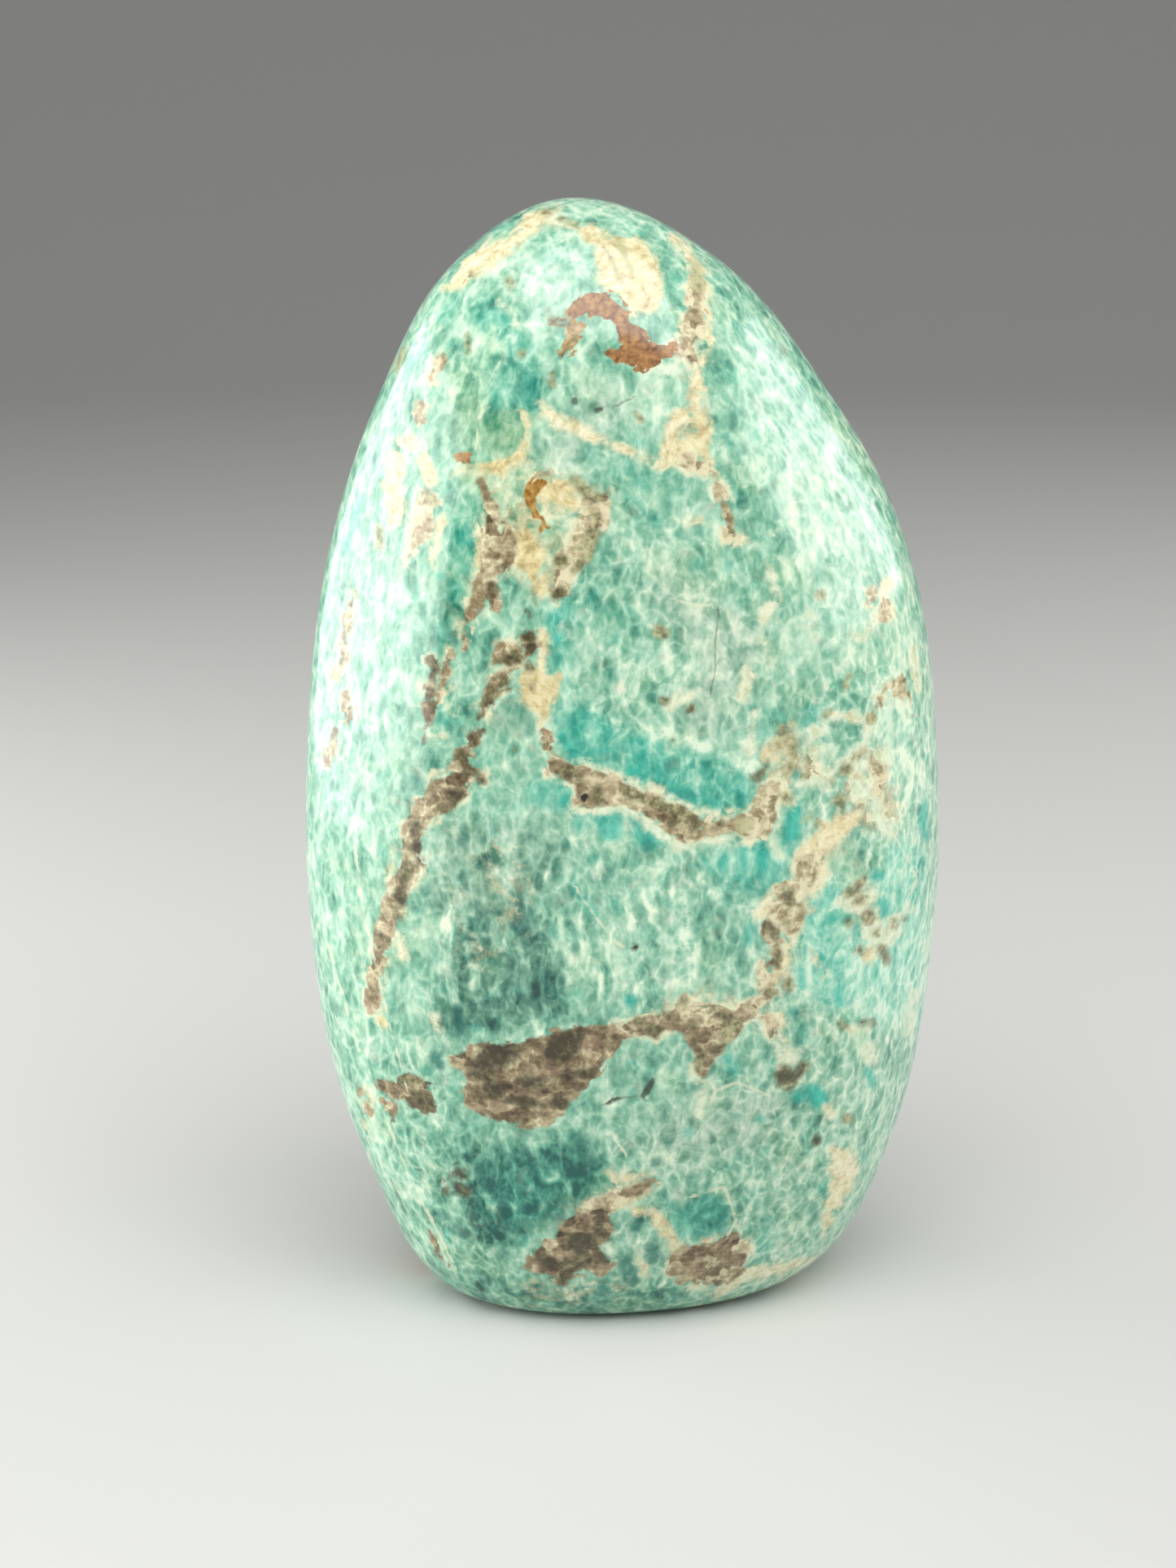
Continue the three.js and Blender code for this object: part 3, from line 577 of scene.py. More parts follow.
# Single crystals of turquoise feldspar, with clear edges
TURQUOISE = {
    "crown 1": Mark([(612, 280, 5), (638, 277, 5)], 0.35),
    "crown 2": Mark([(722, 312, 8), (728, 328, 8)], 0.15),
    "crown 3": Mark([(672, 310, 9), (688, 322, 8)], 0.2),
    "crown 4": Mark([(828, 342, 9), (833, 362, 9)], 0.2),
    "left 1": Mark([(558, 370, 8), (546, 394, 8)], 0.3),
    "left 2": Mark([(594, 390, 9), (620, 392, 8)], 0.3),
    "left 3": Mark([(612, 478, 10), (612, 494, 9)], 0.3),
    "left 4": Mark([(652, 464, 9), (652, 496, 9)], 0.25),
    "edge 1": Mark([(514, 432, 4), (500, 456, 4)], 0.5, True),
    "edge 2": Mark([(470, 480, 3), (458, 502, 4)], 0.2, True),
    "edge 3": Mark([(445, 610, 4), (424, 675, 5)], 0.5, True),
    "bed side": Mark([(722, 552, 9), (732, 566, 8)], 0.3),
    "bed side 2": Mark([(755, 578, 5)], 0.5),
    "column 1": Mark([(572, 660, 12)], 0.5),
    "column 2": Mark([(540, 708, 6)], 0.8),
    "column 3": Mark([(560, 720, 9), (556, 734, 8)], 0.3),
    "column 4": Mark([(541, 772, 7), (545, 788, 6)], 0.4),
    "left low": Mark([(546, 886, 6), (564, 887, 5)], 0.4),
    "slab side": Mark([(792, 545, 9)], 0.2),
    "upper 1": Mark([(774, 580, 8), (790, 598, 7)], 0.3),
    "upper 2": Mark([(768, 608, 4), (784, 617, 4)], 0.5),
    "upper 3": Mark([(800, 585, 10), (836, 592, 10), (824, 612, 9)], 0.15),
    "upper 4": Mark([(806, 640, 9)], 0.3),
    "upper 5": Mark([(850, 660, 8)], 0.2),
    "upper 6": Mark([(887, 556, 3), (900, 596, 6), (906, 640, 6)], 0.1),
    "upper 7": Mark([(892, 680, 5), (892, 702, 6)], 0.3),
    "upper 8": Mark([(1007, 676, 4), (1008, 714, 5)], 0.35),
    "left side 1": Mark([(690, 752, 12), (678, 765, 8)], 0.5),
    "left side 2": Mark([(686, 784, 8)], 0.9),
    "patch 1": Mark(
        [(690, 872), (712, 866), (728, 875), (748, 890), (757, 902), (752, 925), (738, 938), (714, 935),
         (700, 925), (686, 908)], 0.4),
    "patch 2": Mark([(690, 905, 5), (704, 925, 7)], 1.0),
    "patch 3": Mark([(768, 908), (790, 901), (800, 906), (796, 930), (800, 962), (774, 955)], 0.55),
    "patch 4": Mark([(776, 948, 7), (786, 954, 6)], 1.2),
    "patch 5": Mark([(812, 916, 4), (811, 960, 5)], 0.8),
    "patch 6": Mark([(820, 960, 6), (836, 974, 8), (880, 992, 6)], 0.7),
    "patch 8": Mark([(868, 926, 4), (890, 936, 4)], 0.4),
    "patch 9": Mark([(912, 960, 5), (912, 985, 5)], 0.7),
    "turquoise box": Mark([(646, 962), (676, 955), (702, 976), (702, 995), (668, 996), (650, 988)], 0.5),
    "turquoise box dark": Mark([(672, 960, 3), (698, 972, 3)], 0.8),
    "turquoise box end": Mark([(694, 984, 6)], 1.2),
    "under 1": Mark([(701, 1004), (718, 1003), (716, 1030), (708, 1020)], 0.7),
    "under 2": Mark([(728, 1002), (760, 998), (767, 1010), (764, 1034), (738, 1034)], 0.8),
    "under 3": Mark([(776, 1004), (800, 1014), (814, 1034), (802, 1046), (776, 1032)], 0.75),
    "stripe 1": Mark([(912, 1036, 4), (914, 1066, 5)], 0.9),
    "stripe 2": Mark([(922, 1036), (944, 1036), (946, 1052), (942, 1078), (932, 1062)], 0.95),
    "stripe 3": Mark([(864, 1056, 4), (874, 1070, 4)], 0.7),
    "stripe 4": Mark([(890, 1050, 4), (888, 1064, 4)], 0.8),
    "stripe 5": Mark([(962, 1066, 10), (950, 1084, 8)], 0.3),
    "junction wedge": Mark([(966, 996), (984, 984), (986, 1008), (984, 1034), (960, 1040)], 0.95),
    "junction tip": Mark([(972, 1046, 5)], 0.95),
    "right edge": Mark([(1137, 986, 4), (1134, 1010, 6), (1138, 1028, 4)], 0.95),
    "ring side": Mark([(1006, 912, 6)], 0.3),
    "right oval": Mark(
        [(1094, 864), (1112, 884), (1110, 910), (1094, 926), (1082, 904), (1082, 880)], 0.2),
    "right 1": Mark([(940, 900, 8), (940, 912, 6)], 0.54),
    "right 2": Mark([(962, 880, 4), (966, 890, 4)], 0.41),
    "right 3": Mark([(990, 890, 9), (1000, 874, 7)], 0.41),
    "right 4": Mark([(1038, 860, 10)], 0.14),
    "right 5": Mark([(1068, 1072), (1090, 1068), (1086, 1082), (1072, 1084)], 0.94),
    "right 6": Mark([(1014, 1108, 8), (1022, 1100, 6)], 0.54),
    "right 7": Mark([(1085, 1110, 8), (1084, 1126, 6)], 0.94),
    "right 8": Mark([(1052, 1140, 5), (1053, 1152, 4)], 0.54),
    "right 9": Mark([(994, 1116, 4), (996, 1128, 3)], 0.81),
    "right 10": Mark([(924, 1140, 8), (920, 1154, 9)], 0.68),
    "right 11": Mark([(1022, 1186, 8), (1030, 1196, 6)], 0.54),
    "right 12": Mark([(1030, 1216, 5), (1032, 1232, 7)], 0.95),
    "right 13": Mark([(984, 1192, 6), (986, 1212, 6)], 0.81),
    "right 14": Mark([(977, 1244, 5)], 0.95),
    "right 15": Mark([(984, 1266, 7), (986, 1280, 5)], 0.41),
    "right 16": Mark([(1068, 1316, 5), (1072, 1334, 4)], 0.95),
    "slant": Mark([(704, 1090, 4), (722, 1112, 5), (737, 1130, 3)], 0.6),
    "dark spot 5": Mark([(728, 1056, 6)], 0.4),
    "above lens 3": Mark([(775, 1230, 8)], 1.0),
    "tail side 1": Mark([(893, 1300, 7), (902, 1316, 8)], 0.7),
    "turquoise": Mark(
        [(986, 1338), (1000, 1332), (1015, 1342), (1019, 1355), (1013, 1366), (1001, 1363), (992, 1351)],
        1.1),
    "turquoise side": Mark([(981, 1348, 8)], 1.0),
    "foot cell": Mark(
        [(818, 1508), (826, 1490), (850, 1478), (870, 1465), (886, 1474), (897, 1492), (892, 1512),
         (860, 1520), (834, 1525)], 0.5),
    "foot cell 5": Mark([(946, 1500, 8), (940, 1530, 10), (936, 1546, 6)], 0.3),
    "cell small 2": Mark([(934, 1376, 5)], 0.9),
    "cell small 3": Mark([(942, 1414, 5)], 0.5),
    "cell small 4": Mark([(846, 1392, 6)], 0.8),
    "cell small 6": Mark([(1060, 1424, 6)], 0.6),
    "cell small 7": Mark([(1014, 1462, 8)], 0.7),
}

# Small pale places in the feldspar, with soft edges
WISPS = {
    "wisp 1": Mark([(833, 1098, 7), (840, 1120, 8), (846, 1150, 8), (850, 1180, 7), (848, 1210, 5)], 1.0),
    "wisp 2": Mark([(824, 1150, 5), (828, 1175, 6), (830, 1205, 5)], 0.7),
    "wisp 3": Mark([(803, 1082, 6), (808, 1105, 5), (806, 1132, 5)], 0.7),
    "wisp 4": Mark([(697, 1168, 5), (698, 1192, 6), (704, 1212, 5)], 1.0),
    "wisp 5": Mark([(722, 1168, 6), (726, 1186, 5), (738, 1206, 5)], 1.0),
    "wisp 6": Mark([(578, 1186, 6), (584, 1206, 7), (588, 1228, 6)], 1.0),
    "wisp 7": Mark([(692, 1144, 5), (694, 1166, 6), (700, 1192, 5)], 1.0),
    "wisp 8": Mark([(662, 1134, 4), (664, 1154, 4), (668, 1172, 4)], 1.0),
    "wisp 9": Mark([(548, 1122, 6), (552, 1160, 7), (548, 1200, 6)], 0.5),
    "wisp 10": Mark([(632, 1254, 7), (650, 1258, 8), (668, 1268, 6)], 0.3),
    "wisp 12": Mark([(812, 1062, 4), (816, 1078, 4)], 0.8),
    "wisp 14": Mark([(752, 1176, 4), (760, 1196, 5), (756, 1214, 4)], 0.5),
    "wisp 15": Mark([(786, 1176, 4), (780, 1194, 5), (790, 1212, 4)], 0.8),
    "wisp 16": Mark([(800, 1120, 4), (802, 1150, 5), (798, 1172, 4)], 0.8),
    "wisp 17": Mark([(776, 1168, 3), (790, 1168, 3), (800, 1160, 3)], 0.8),
    "wisp 18": Mark([(868, 1086, 5), (876, 1098, 5)], 0.8),
    "wisp 19": Mark([(568, 1140, 4), (584, 1148, 4), (600, 1152, 3)], 0.8),
    "wisp 20": Mark([(566, 1132, 4), (574, 1160, 6), (570, 1180, 4)], 0.8),
    "wisp 21": Mark([(608, 1216, 4), (612, 1238, 4), (604, 1254, 3)], 0.8),
    "wisp 23": Mark([(680, 1156, 4), (678, 1176, 4), (684, 1190, 3)], 0.8),
    "wisp 24": Mark([(716, 1166, 4), (720, 1186, 4)], 0.5),
    "patch line": Mark(
        [(728, 868, 3), (748, 884, 5), (775, 899, 6), (806, 903, 5), (826, 898, 5), (848, 914, 5),
         (874, 924, 4), (900, 936, 4), (924, 946, 5)], 1.0),
    "fork": Mark([(858, 1076, 3), (873, 1097, 4), (908, 1111, 5), (931, 1124, 6)], 1.0),
    "thread 1": Mark([(616, 1012, 4), (617, 1050, 4)], 0.6),
    "crown line": Mark([(583, 432, 2), (585, 414, 3), (600, 408, 3), (622, 401, 4), (665, 397, 4)], 0.9),
    "pale fork": Mark([(1035, 642, 3), (1012, 660, 4), (1000, 680, 3)], 0.9),
}

# Where it is turquoise
BLUE = {
    "mid patch": Mark(
        [(690, 880), (728, 872), (770, 897), (822, 905), (868, 925), (922, 950), (920, 990), (878, 1000),
         (837, 980), (781, 955), (719, 936), (694, 920)], 0.6),
    "middle field": Mark([(720, 752, 16), (760, 760, 14)], 0.3),
    "upper left": Mark([(600, 388, 22), (640, 430, 24)], 0.4),
    "left side": Mark([(690, 752, 18), (688, 788, 14), (690, 900, 14)], 0.5),
    "stripes": Mark([(878, 1044), (940, 1036), (968, 1060), (944, 1100), (900, 1090), (874, 1066)], 0.7),
    "right side": Mark(
        [(1010, 1110, 30), (1030, 1200, 40), (1100, 1180, 30), (1110, 1060, 26)], 0.95, True),
    "right low side": Mark([(1010, 1160), (1140, 1120), (1140, 1260), (1040, 1270)], 0.75),
    "foot field": Mark(
        [(580, 1430), (620, 1404), (700, 1404), (740, 1430), (730, 1466), (680, 1490), (610, 1520)],
        0.35),
    "left teal": Mark([(548, 620), (590, 616), (592, 700), (575, 730), (545, 720)], 0.5),
    "upper cell": Mark([(596, 440), (666, 436), (668, 505), (606, 508)], 0.25),
}

# Where it is paler. The marks on the crown, the upper right and the left bevel also paint in the sheen and
# highlight of the softboxes' light there.
PALE_AND_SHEEN = {
    # Painted sheen of the top light on the crown
    "crown painted sheen": Mark([(650, 345, 34), (700, 350, 20)], 0.45),
    "bluish slab": Mark(
        [(787, 450), (803, 443), (828, 438), (842, 470), (844, 500), (826, 502), (806, 516), (787, 492),
         (790, 470)], 1.0),
    "grey slab": Mark([(700, 460), (770, 460), (780, 520), (730, 536), (690, 500)], 0.25),
    "grey bed": Mark([(660, 540, 22), (690, 560, 18)], 0.1),
    # Painted sheen of the right light, with paler feldspar as well
    "upper right": Mark([(900, 400), (960, 420), (1030, 560), (1080, 700), (1010, 720), (940, 560)], 0.45),
    "right shoulder": Mark([(1096, 700), (1124, 780), (1130, 960), (1100, 1000), (1070, 900)], 1.0),
    "right cell": Mark([(1096, 870, 16), (1097, 906, 16)], 0.6),
    "middle": Mark([(700, 780), (820, 700), (900, 760), (900, 880), (760, 860)], 0.2),
    # Painted highlight of the left softbox on the bevel
    "bevel": Mark([(480, 700), (520, 700), (500, 900), (480, 1080), (430, 1100), (440, 800)], 0.1),
    # Painted light on the crown's upper left, which faces the top light
    "crown left": Mark([(560, 360, 20), (600, 340, 24), (740, 270, 12)], 0.5),
    "right side": Mark(
        [(1010, 1110, 36), (1030, 1200, 46), (1100, 1180, 36), (1110, 1060, 30)], 0.4, True),
    "right rim": Mark([(1138, 800, 14), (1148, 950, 12), (1146, 1100, 12), (1130, 1230, 10)], 0.3, True),
    "right middle": Mark([(935, 670), (1060, 690), (1075, 830), (940, 840)], 0.35),
    # Painted sheen on the crown's top
    "crown top": Mark([(690, 262, 16), (760, 266, 16)], 0.4, True),
    "upper left cell": Mark([(575, 385, 22), (590, 430, 22)], 0.3),
    "deep blue side": Mark([(800, 880), (900, 900), (960, 960), (900, 980), (800, 930)], 0.2),
    "right low": Mark(
        [(1000, 1150), (1080, 1120), (1145, 1120), (1140, 1260), (1040, 1300), (990, 1240)], 0.65),
    "mid shoulder": Mark([(780, 600), (880, 620), (880, 720), (790, 730)], 0.3),
}

# Where it is greener
GREEN = {
    "green cell": Mark([(617, 534, 30)], 1.3),
    "upper left rim": Mark([(566, 470, 14), (560, 520, 14)], 0.9),
    "bed": Mark([(700, 650, 28)], 0.5),
    "patch": Mark([(630, 886, 20)], 0.5),
    "right streak": Mark([(1024, 510, 6), (1048, 546, 6), (1066, 578, 6)], 1.0, True),
    "right bed": Mark([(1035, 1060, 16)], 0.6),
    "right low": Mark([(1053, 1257, 14)], 0.8),
    "low field": Mark([(600, 1060, 14)], 0.7),
    "stain": Mark([(572, 580, 14), (620, 580, 22), (650, 610, 18), (630, 640, 14)], 0.9),
    "green cell side": Mark([(558, 486), (588, 484), (600, 510), (592, 560), (566, 556), (554, 520)], 1.2),
    "left teal": Mark([(548, 620), (590, 616), (592, 700), (575, 730), (545, 720)], 0.5),
    "stain field": Mark([(560, 568), (650, 560), (700, 600), (690, 700), (600, 700), (590, 620)], 0.9),
}

# Where it is greyer
GREY = {
    "above lens": Mark(
        [(560, 1130), (640, 1100), (700, 1180), (690, 1250), (600, 1270), (530, 1270)], 0.18),
    "low left field": Mark(
        [(540, 1000), (600, 1010), (690, 1020), (700, 1060), (640, 1130), (520, 1140)], 0.25),
    "centre": Mark([(690, 560, 24), (740, 500, 28)], 0.35),
    "middle": Mark([(820, 720, 30), (900, 800, 40), (860, 880, 30)], 0.3),
    "foot field": Mark([(590, 1440, 20), (640, 1410, 20), (700, 1430, 20)], 0.1),
    "below cavity": Mark([(830, 1400, 34), (940, 1370, 30)], 0.3),
}

# Brownish cream, in a mottled network
TAN = {
    "stain": Mark([(572, 580, 14), (620, 580, 22), (650, 610, 18), (630, 640, 14)], 0.5),
    "bed": Mark([(700, 600, 14), (730, 620, 16), (700, 660, 18), (680, 700, 14)], 0.6),
    "left vein": Mark([(590, 640, 12), (594, 700, 12), (560, 780, 6), (536, 860, 8)], 0.5),
    "junction": Mark(
        [(945, 925, 14), (968, 905, 14), (975, 935, 14), (955, 950, 12), (966, 984, 10)], 0.85),
    "right arm": Mark([(1046, 945, 14), (1056, 985, 14)], 0.9, True),
    "right vein": Mark([(1040, 1010, 16), (1000, 1060, 18), (985, 1110, 16)], 0.8, True),
    "right low": Mark([(1060, 1100, 20), (1080, 1150, 20)], 0.25),
    "upper right": Mark([(850, 460, 14), (860, 520, 16), (840, 545, 16)], 0.6),
    "upper right vein": Mark([(860, 330, 12), (864, 400, 14), (850, 440, 12)], 0.6, True),
    "low middle": Mark([(800, 1250, 14), (860, 1225, 16), (930, 1240, 16)], 0.5),
    "lens tail": Mark([(800, 1256, 12), (840, 1250, 14), (880, 1262, 16), (920, 1246, 10)], 0.7),
    "foot arm": Mark([(730, 1484, 12), (790, 1458, 12)], 0.9),
    "low olive": Mark([(560, 1040, 26), (580, 1100, 24)], 0.25),
    "right bed": Mark([(1035, 1045, 14), (1052, 1062, 8)], 0.5),
    "right network": Mark(
        [(1070, 930, 16), (1076, 960, 16), (1090, 1000, 18), (1066, 1010, 12)], 0.8, True),
    "knot": Mark([(1056, 1104, 16), (1070, 1130, 14), (1080, 1160, 12), (1100, 1136, 10)], 0.75, True),
    "junction 2": Mark([(1000, 925, 10), (992, 950, 10), (1020, 958, 10)], 1.0),
    "stain field": Mark(
        [(572, 572), (640, 560), (730, 590), (738, 640), (700, 730), (650, 740), (600, 690), (596, 620)],
        0.5),
    "foot corner": Mark([(650, 1585, 12), (700, 1590, 12), (760, 1580, 10)], 0.45),
    "low left field": Mark(
        [(540, 1010), (600, 1020), (660, 1070), (640, 1170), (560, 1210), (530, 1140)], 0.25),
}

# Where the pale mesh is drawn out into upright streaks
STREAKS = {
    "above lens": Mark(
        [(520, 1100), (640, 1040), (760, 1060), (900, 1090), (930, 1180), (800, 1240), (560, 1280)],
        1.4),
    "foot field": Mark([(560, 1420), (700, 1404), (745, 1430), (690, 1490), (600, 1540)], 1.4),
    "left bevel": Mark(
        [(380, 900), (440, 600), (500, 420), (520, 500), (470, 800), (430, 1100)], 0.8, True),
    "stripes": Mark([(878, 1044), (940, 1036), (968, 1060), (944, 1100), (900, 1090)], 0.9),
    "right edge": Mark(
        [(960, 380), (1060, 520), (1140, 760), (1150, 1000), (1110, 800), (1020, 560)], 0.7, True),
}

# Where a crisp pale mesh stands out between the crystals
NETTED = {
    "right low": Mark(
        [(905, 1240), (955, 1110), (1060, 1040), (1150, 1040), (1145, 1250), (1090, 1400), (1020, 1500),
         (900, 1500), (930, 1380), (880, 1330)], 0.6, True),
    "right upper": Mark(
        [(980, 860), (1060, 800), (1140, 810), (1150, 1040), (1060, 1040), (1000, 1030)], 0.8, True),
    "bottom": Mark([(740, 1400), (900, 1380), (1020, 1490), (960, 1600), (760, 1600)], 0.6),
    "left low": Mark(
        [(400, 1230), (540, 1300), (560, 1400), (640, 1440), (620, 1600), (480, 1480)], 0.5, True),
    "middle": Mark([(650, 640), (900, 640), (960, 860), (900, 1060), (700, 900)], 0.35),
}

# Thin pale lines
PALE_LINES = {
    "green cell line": Mark([(583, 554), (587, 538), (585, 524), (592, 506), (602, 498)]),
    "upper tick": Mark([(605, 462), (614, 444)]),
    "slant": Mark([(709, 1094), (721, 1112), (735, 1131), (758, 1159), (770, 1166)]),
    "edge line 1": Mark([(1090, 1010), (1128, 1080), (1100, 1140)]),
    "foot slot": Mark([(940, 1345), (905, 1330), (880, 1340), (862, 1380), (858, 1400)]),
    "foot line 1": Mark([(755, 1400), (770, 1420), (766, 1442)]),
    "foot line 2": Mark([(852, 1470), (890, 1458), (905, 1500), (893, 1520)]),
    "bevel line 1": Mark([(430, 1000), (446, 1120), (474, 1240), (500, 1340)]),
    "bevel line 2": Mark([(402, 1160), (440, 1290), (500, 1440), (560, 1560)]),
    "long thread arm": Mark([(832, 738), (850, 743), (872, 744)]),
}

# Thin dark lines
DARK_LINES = {
    "long thread": Mark([(883, 750), (879, 790), (879, 824), (873, 850)]),
    "upper hair": Mark([(758, 499), (766, 494), (774, 490)]),
    "crack": Mark([(742, 1358), (755, 1351), (783, 1347), (792, 1350)]),
    "tail seam": Mark([(850, 1237), (884, 1236), (896, 1241)]),
    "lower left seam": Mark([(484, 1338), (504, 1352), (522, 1368)]),
    "edge thread": Mark([(480, 1450), (499, 1493)]),
}


def hold(low, value, high):
    """The value, kept between low and high."""
    return np.minimum(np.maximum(value, low), high)


def smooth_share(value):
    """The value kept between 0 and 1, which it leaves and reaches smoothly."""
    share = hold(0, value, 1)
    return share * share * (3 - 2 * share)


def inside_route(points, pixels):
    """How many pixels inside a route of changing width each point lies, below 0 outside it."""
    route = np.array(points, float)
    best = route[0, 2] - np.hypot(*(pixels - route[0, :2]).T)
    for start, end in zip(route[:-1], route[1:]):
        along = end[:2] - start[:2]
        share = hold(0, (pixels - start[:2]) @ along / (along @ along), 1)
        gap = np.hypot(*(pixels - start[:2] - share[:, None] * along).T)
        best = np.maximum(best, start[2] + share * (end[2] - start[2]) - gap)
    return best


def inside_outline(points, pixels):
    """How many pixels inside an outline each point lies, below 0 outside it."""
    outline = np.array(points, float)
    gap = np.full(len(pixels), np.inf)
    crossings = np.zeros(len(pixels), int)
    x, y = pixels.T
    for start, end in zip(outline, np.roll(outline, -1, axis=0)):
        along = end - start
        share = hold(0, (pixels - start) @ along / (along @ along), 1)
        gap = np.minimum(gap, np.hypot(*(pixels - start - share[:, None] * along).T))
        straddles = (start[1] > y) != (end[1] > y)
        rise = along[1] if along[1] else 1.0
        crossings += straddles & (x < start[0] + (y - start[1]) * along[0] / rise)
    return np.where(crossings % 2, gap, -gap)


def beside_line(points, pixels):
    """How many pixels to the left or right of a line each point lies, and how many away from it."""
    line = np.array(points, float)
    away = np.full(len(pixels), np.inf)
    beside = np.full(len(pixels), np.inf)
    for start, end in zip(line[:-1], line[1:]):
        along = end - start
        offset = pixels - start
        share = hold(0, offset @ along / (along @ along), 1)
        gap = np.hypot(*(offset - share[:, None] * along).T)
        side = (along[0] * offset[:, 1] - along[1] * offset[:, 0]) / np.hypot(*along)
        nearer = gap < away
        away = np.where(nearer, gap, away)
        beside = np.where(nearer, np.copysign(gap, side), beside)
    return beside, away


FADE_BEHIND = 60  # pixels that a mark which isn't deep shrinks by, from the silhouette to the back
FAR = 1000.0  # pixels, farther than any point of the stone lies from a mark
LINE_REACH = 5  # mm from a thin line that are still told apart


def inside_mark(mark, pixels, behind):
    """How many pixels inside the mark each point lies, below 0 outside it."""
    inside_shape = inside_route if len(mark.points[0]) == 3 else inside_outline
    inside = inside_shape(mark.points, pixels)
    return inside if mark.deep else inside - FADE_BEHIND * behind


def mark_field(marks, pixels, behind):
    """How many mm inside the nearest of the marks each point lies, and that mark's tone."""
    field = np.full(len(pixels), -FAR)
    tone = np.zeros(len(pixels))
    for mark in marks.values():
        inside = inside_mark(mark, pixels, behind)
        tone = np.where(inside > field, mark.tone, tone)
        field = np.maximum(field, inside)
    return field / PIXELS_PER_MM, tone


def soft_weight(marks, pixels, behind, feather):
    """How strongly the marks colour each point, with edges that fade out over feather pixels."""
    weight = np.zeros(len(pixels))
    for mark in marks.values():
        share = smooth_share(0.5 + inside_mark(mark, pixels, behind) / (2 * feather))
        weight = np.maximum(weight, mark.tone * share)
    return weight


def line_fields(lines, pixels, behind):
    """How many mm beside the nearest thin line each point lies, by sides, and how many away."""
    beside = np.full(len(pixels), FAR)
    away = np.full(len(pixels), FAR)
    for line in lines.values():
        this_beside, this_away = beside_line(line.points, pixels)
        this_away = this_away + FADE_BEHIND * behind
        nearer = this_away < away
        beside = np.where(nearer, this_beside, beside)
        away = np.where(nearer, this_away, away)
    beside = hold(-LINE_REACH, beside / PIXELS_PER_MM, LINE_REACH)
    return beside, hold(0, away / PIXELS_PER_MM, LINE_REACH)


# ---------------------------------------------------------------- the skin

ROWS = 258  # level bands of the skin
COLUMNS = 352  # faces round each band
FRONT_SHARE = 0.3  # how much closer than even the columns stand at the front
FOOT_RINGS = 8  # rings of faces inside the foot's rim
BORDER = 3  # rings that carry the surface on past its two ends while it is drawn
SEAM_TURN = 0.25  # where the side's flat sheet is cut, at the back, as a share of a turn from the right
SHEET_FOOT = 0.18  # share of the flat sheet's height that the foot's disc takes, under the side
SHEET_DISC = 0.46  # the disc's radius, as a share of that
LEVEL_GAP = 0.01 * MM  # height that tells two of the solid's rings apart
SAME_PLACE = 0.001 * MM  # points of a ring that lie closer than this are one point
INNER_SHARE = 0.3  # points nearer the middle of a level than this share of its radius aren't its ring's
FINE_ROWS = 8  # rows worked out for each of the solid's rings, to space the skin's rows evenly


def cad_rings():
    """The solid's level rings of points from the foot up, as rings x columns x 3, and its crown."""
    points = np.array([tuple(v.co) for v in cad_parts[NODE].data.vertices], float)
    points = np.unique(np.round(points, 7), axis=0)
    points = points[np.argsort(points[:, 2], kind="stable")]
    steps = np.flatnonzero(np.diff(points[:, 2]) > LEVEL_GAP) + 1
    levels = np.split(points, steps)
    crown = levels.pop()[0]
    rings = []
    for level in levels:
        middle = (level.min(0) + level.max(0)) / 2
        outward = np.hypot(*(level - middle)[:, :2].T)
        level = level[outward > INNER_SHARE * outward.max()]
        level = level[np.argsort(np.arctan2(*(level - level.mean(0))[:, 1::-1].T))]
        keep = np.hypot(*np.diff(level, axis=0, append=level[:1])[:, :2].T) > SAME_PLACE
        rings.append(level[keep])
    lined_up = rings[:1]
    for ring in rings[1:]:
        below = lined_up[-1] - lined_up[-1].mean(0)
        turned = [np.roll(ring, turn, axis=0) for turn in range(len(ring))]
        lined_up.append(min(turned, key=lambda r: np.sum((r - r.mean(0) - below)[:, :2] ** 2)))
    return np.array(lined_up), crown


def curve_weights(count, places, closed):
    """Weights of count even points that give the smooth curve through them at the places."""
    shifts = np.eye(count)
    through = (4 * shifts + np.roll(shifts, 1, axis=0) + np.roll(shifts, -1, axis=0)) / 6
    if not closed:
        through[0] = shifts[0]
        through[-1] = shifts[-1]
    whole = np.floor(places).astype(int)
    t = places - whole
    blends = [(1 - t) ** 3, 3 * t**3 - 6 * t**2 + 4, -3 * t**3 + 3 * t**2 + 3 * t + 1, t**3]
    weights = np.zeros((len(places), count))
    for step, blend in enumerate(blends):
        at = whole + step - 1
        at = at % count if closed else hold(0, at, count - 1)
        np.add.at(weights, (np.arange(len(places)), at), blend / 6)
    return weights @ np.linalg.inv(through)


def even_places(lines):
    """Places along the rows of a net of points that are evenly far apart on the surface."""
    steps = np.linalg.norm(np.diff(lines, axis=0), axis=2).mean(axis=1)
    travelled = np.concatenate([[0], np.cumsum(steps)])
    return np.interp(np.linspace(0, travelled[-1], ROWS + 1), travelled, np.arange(len(lines)))


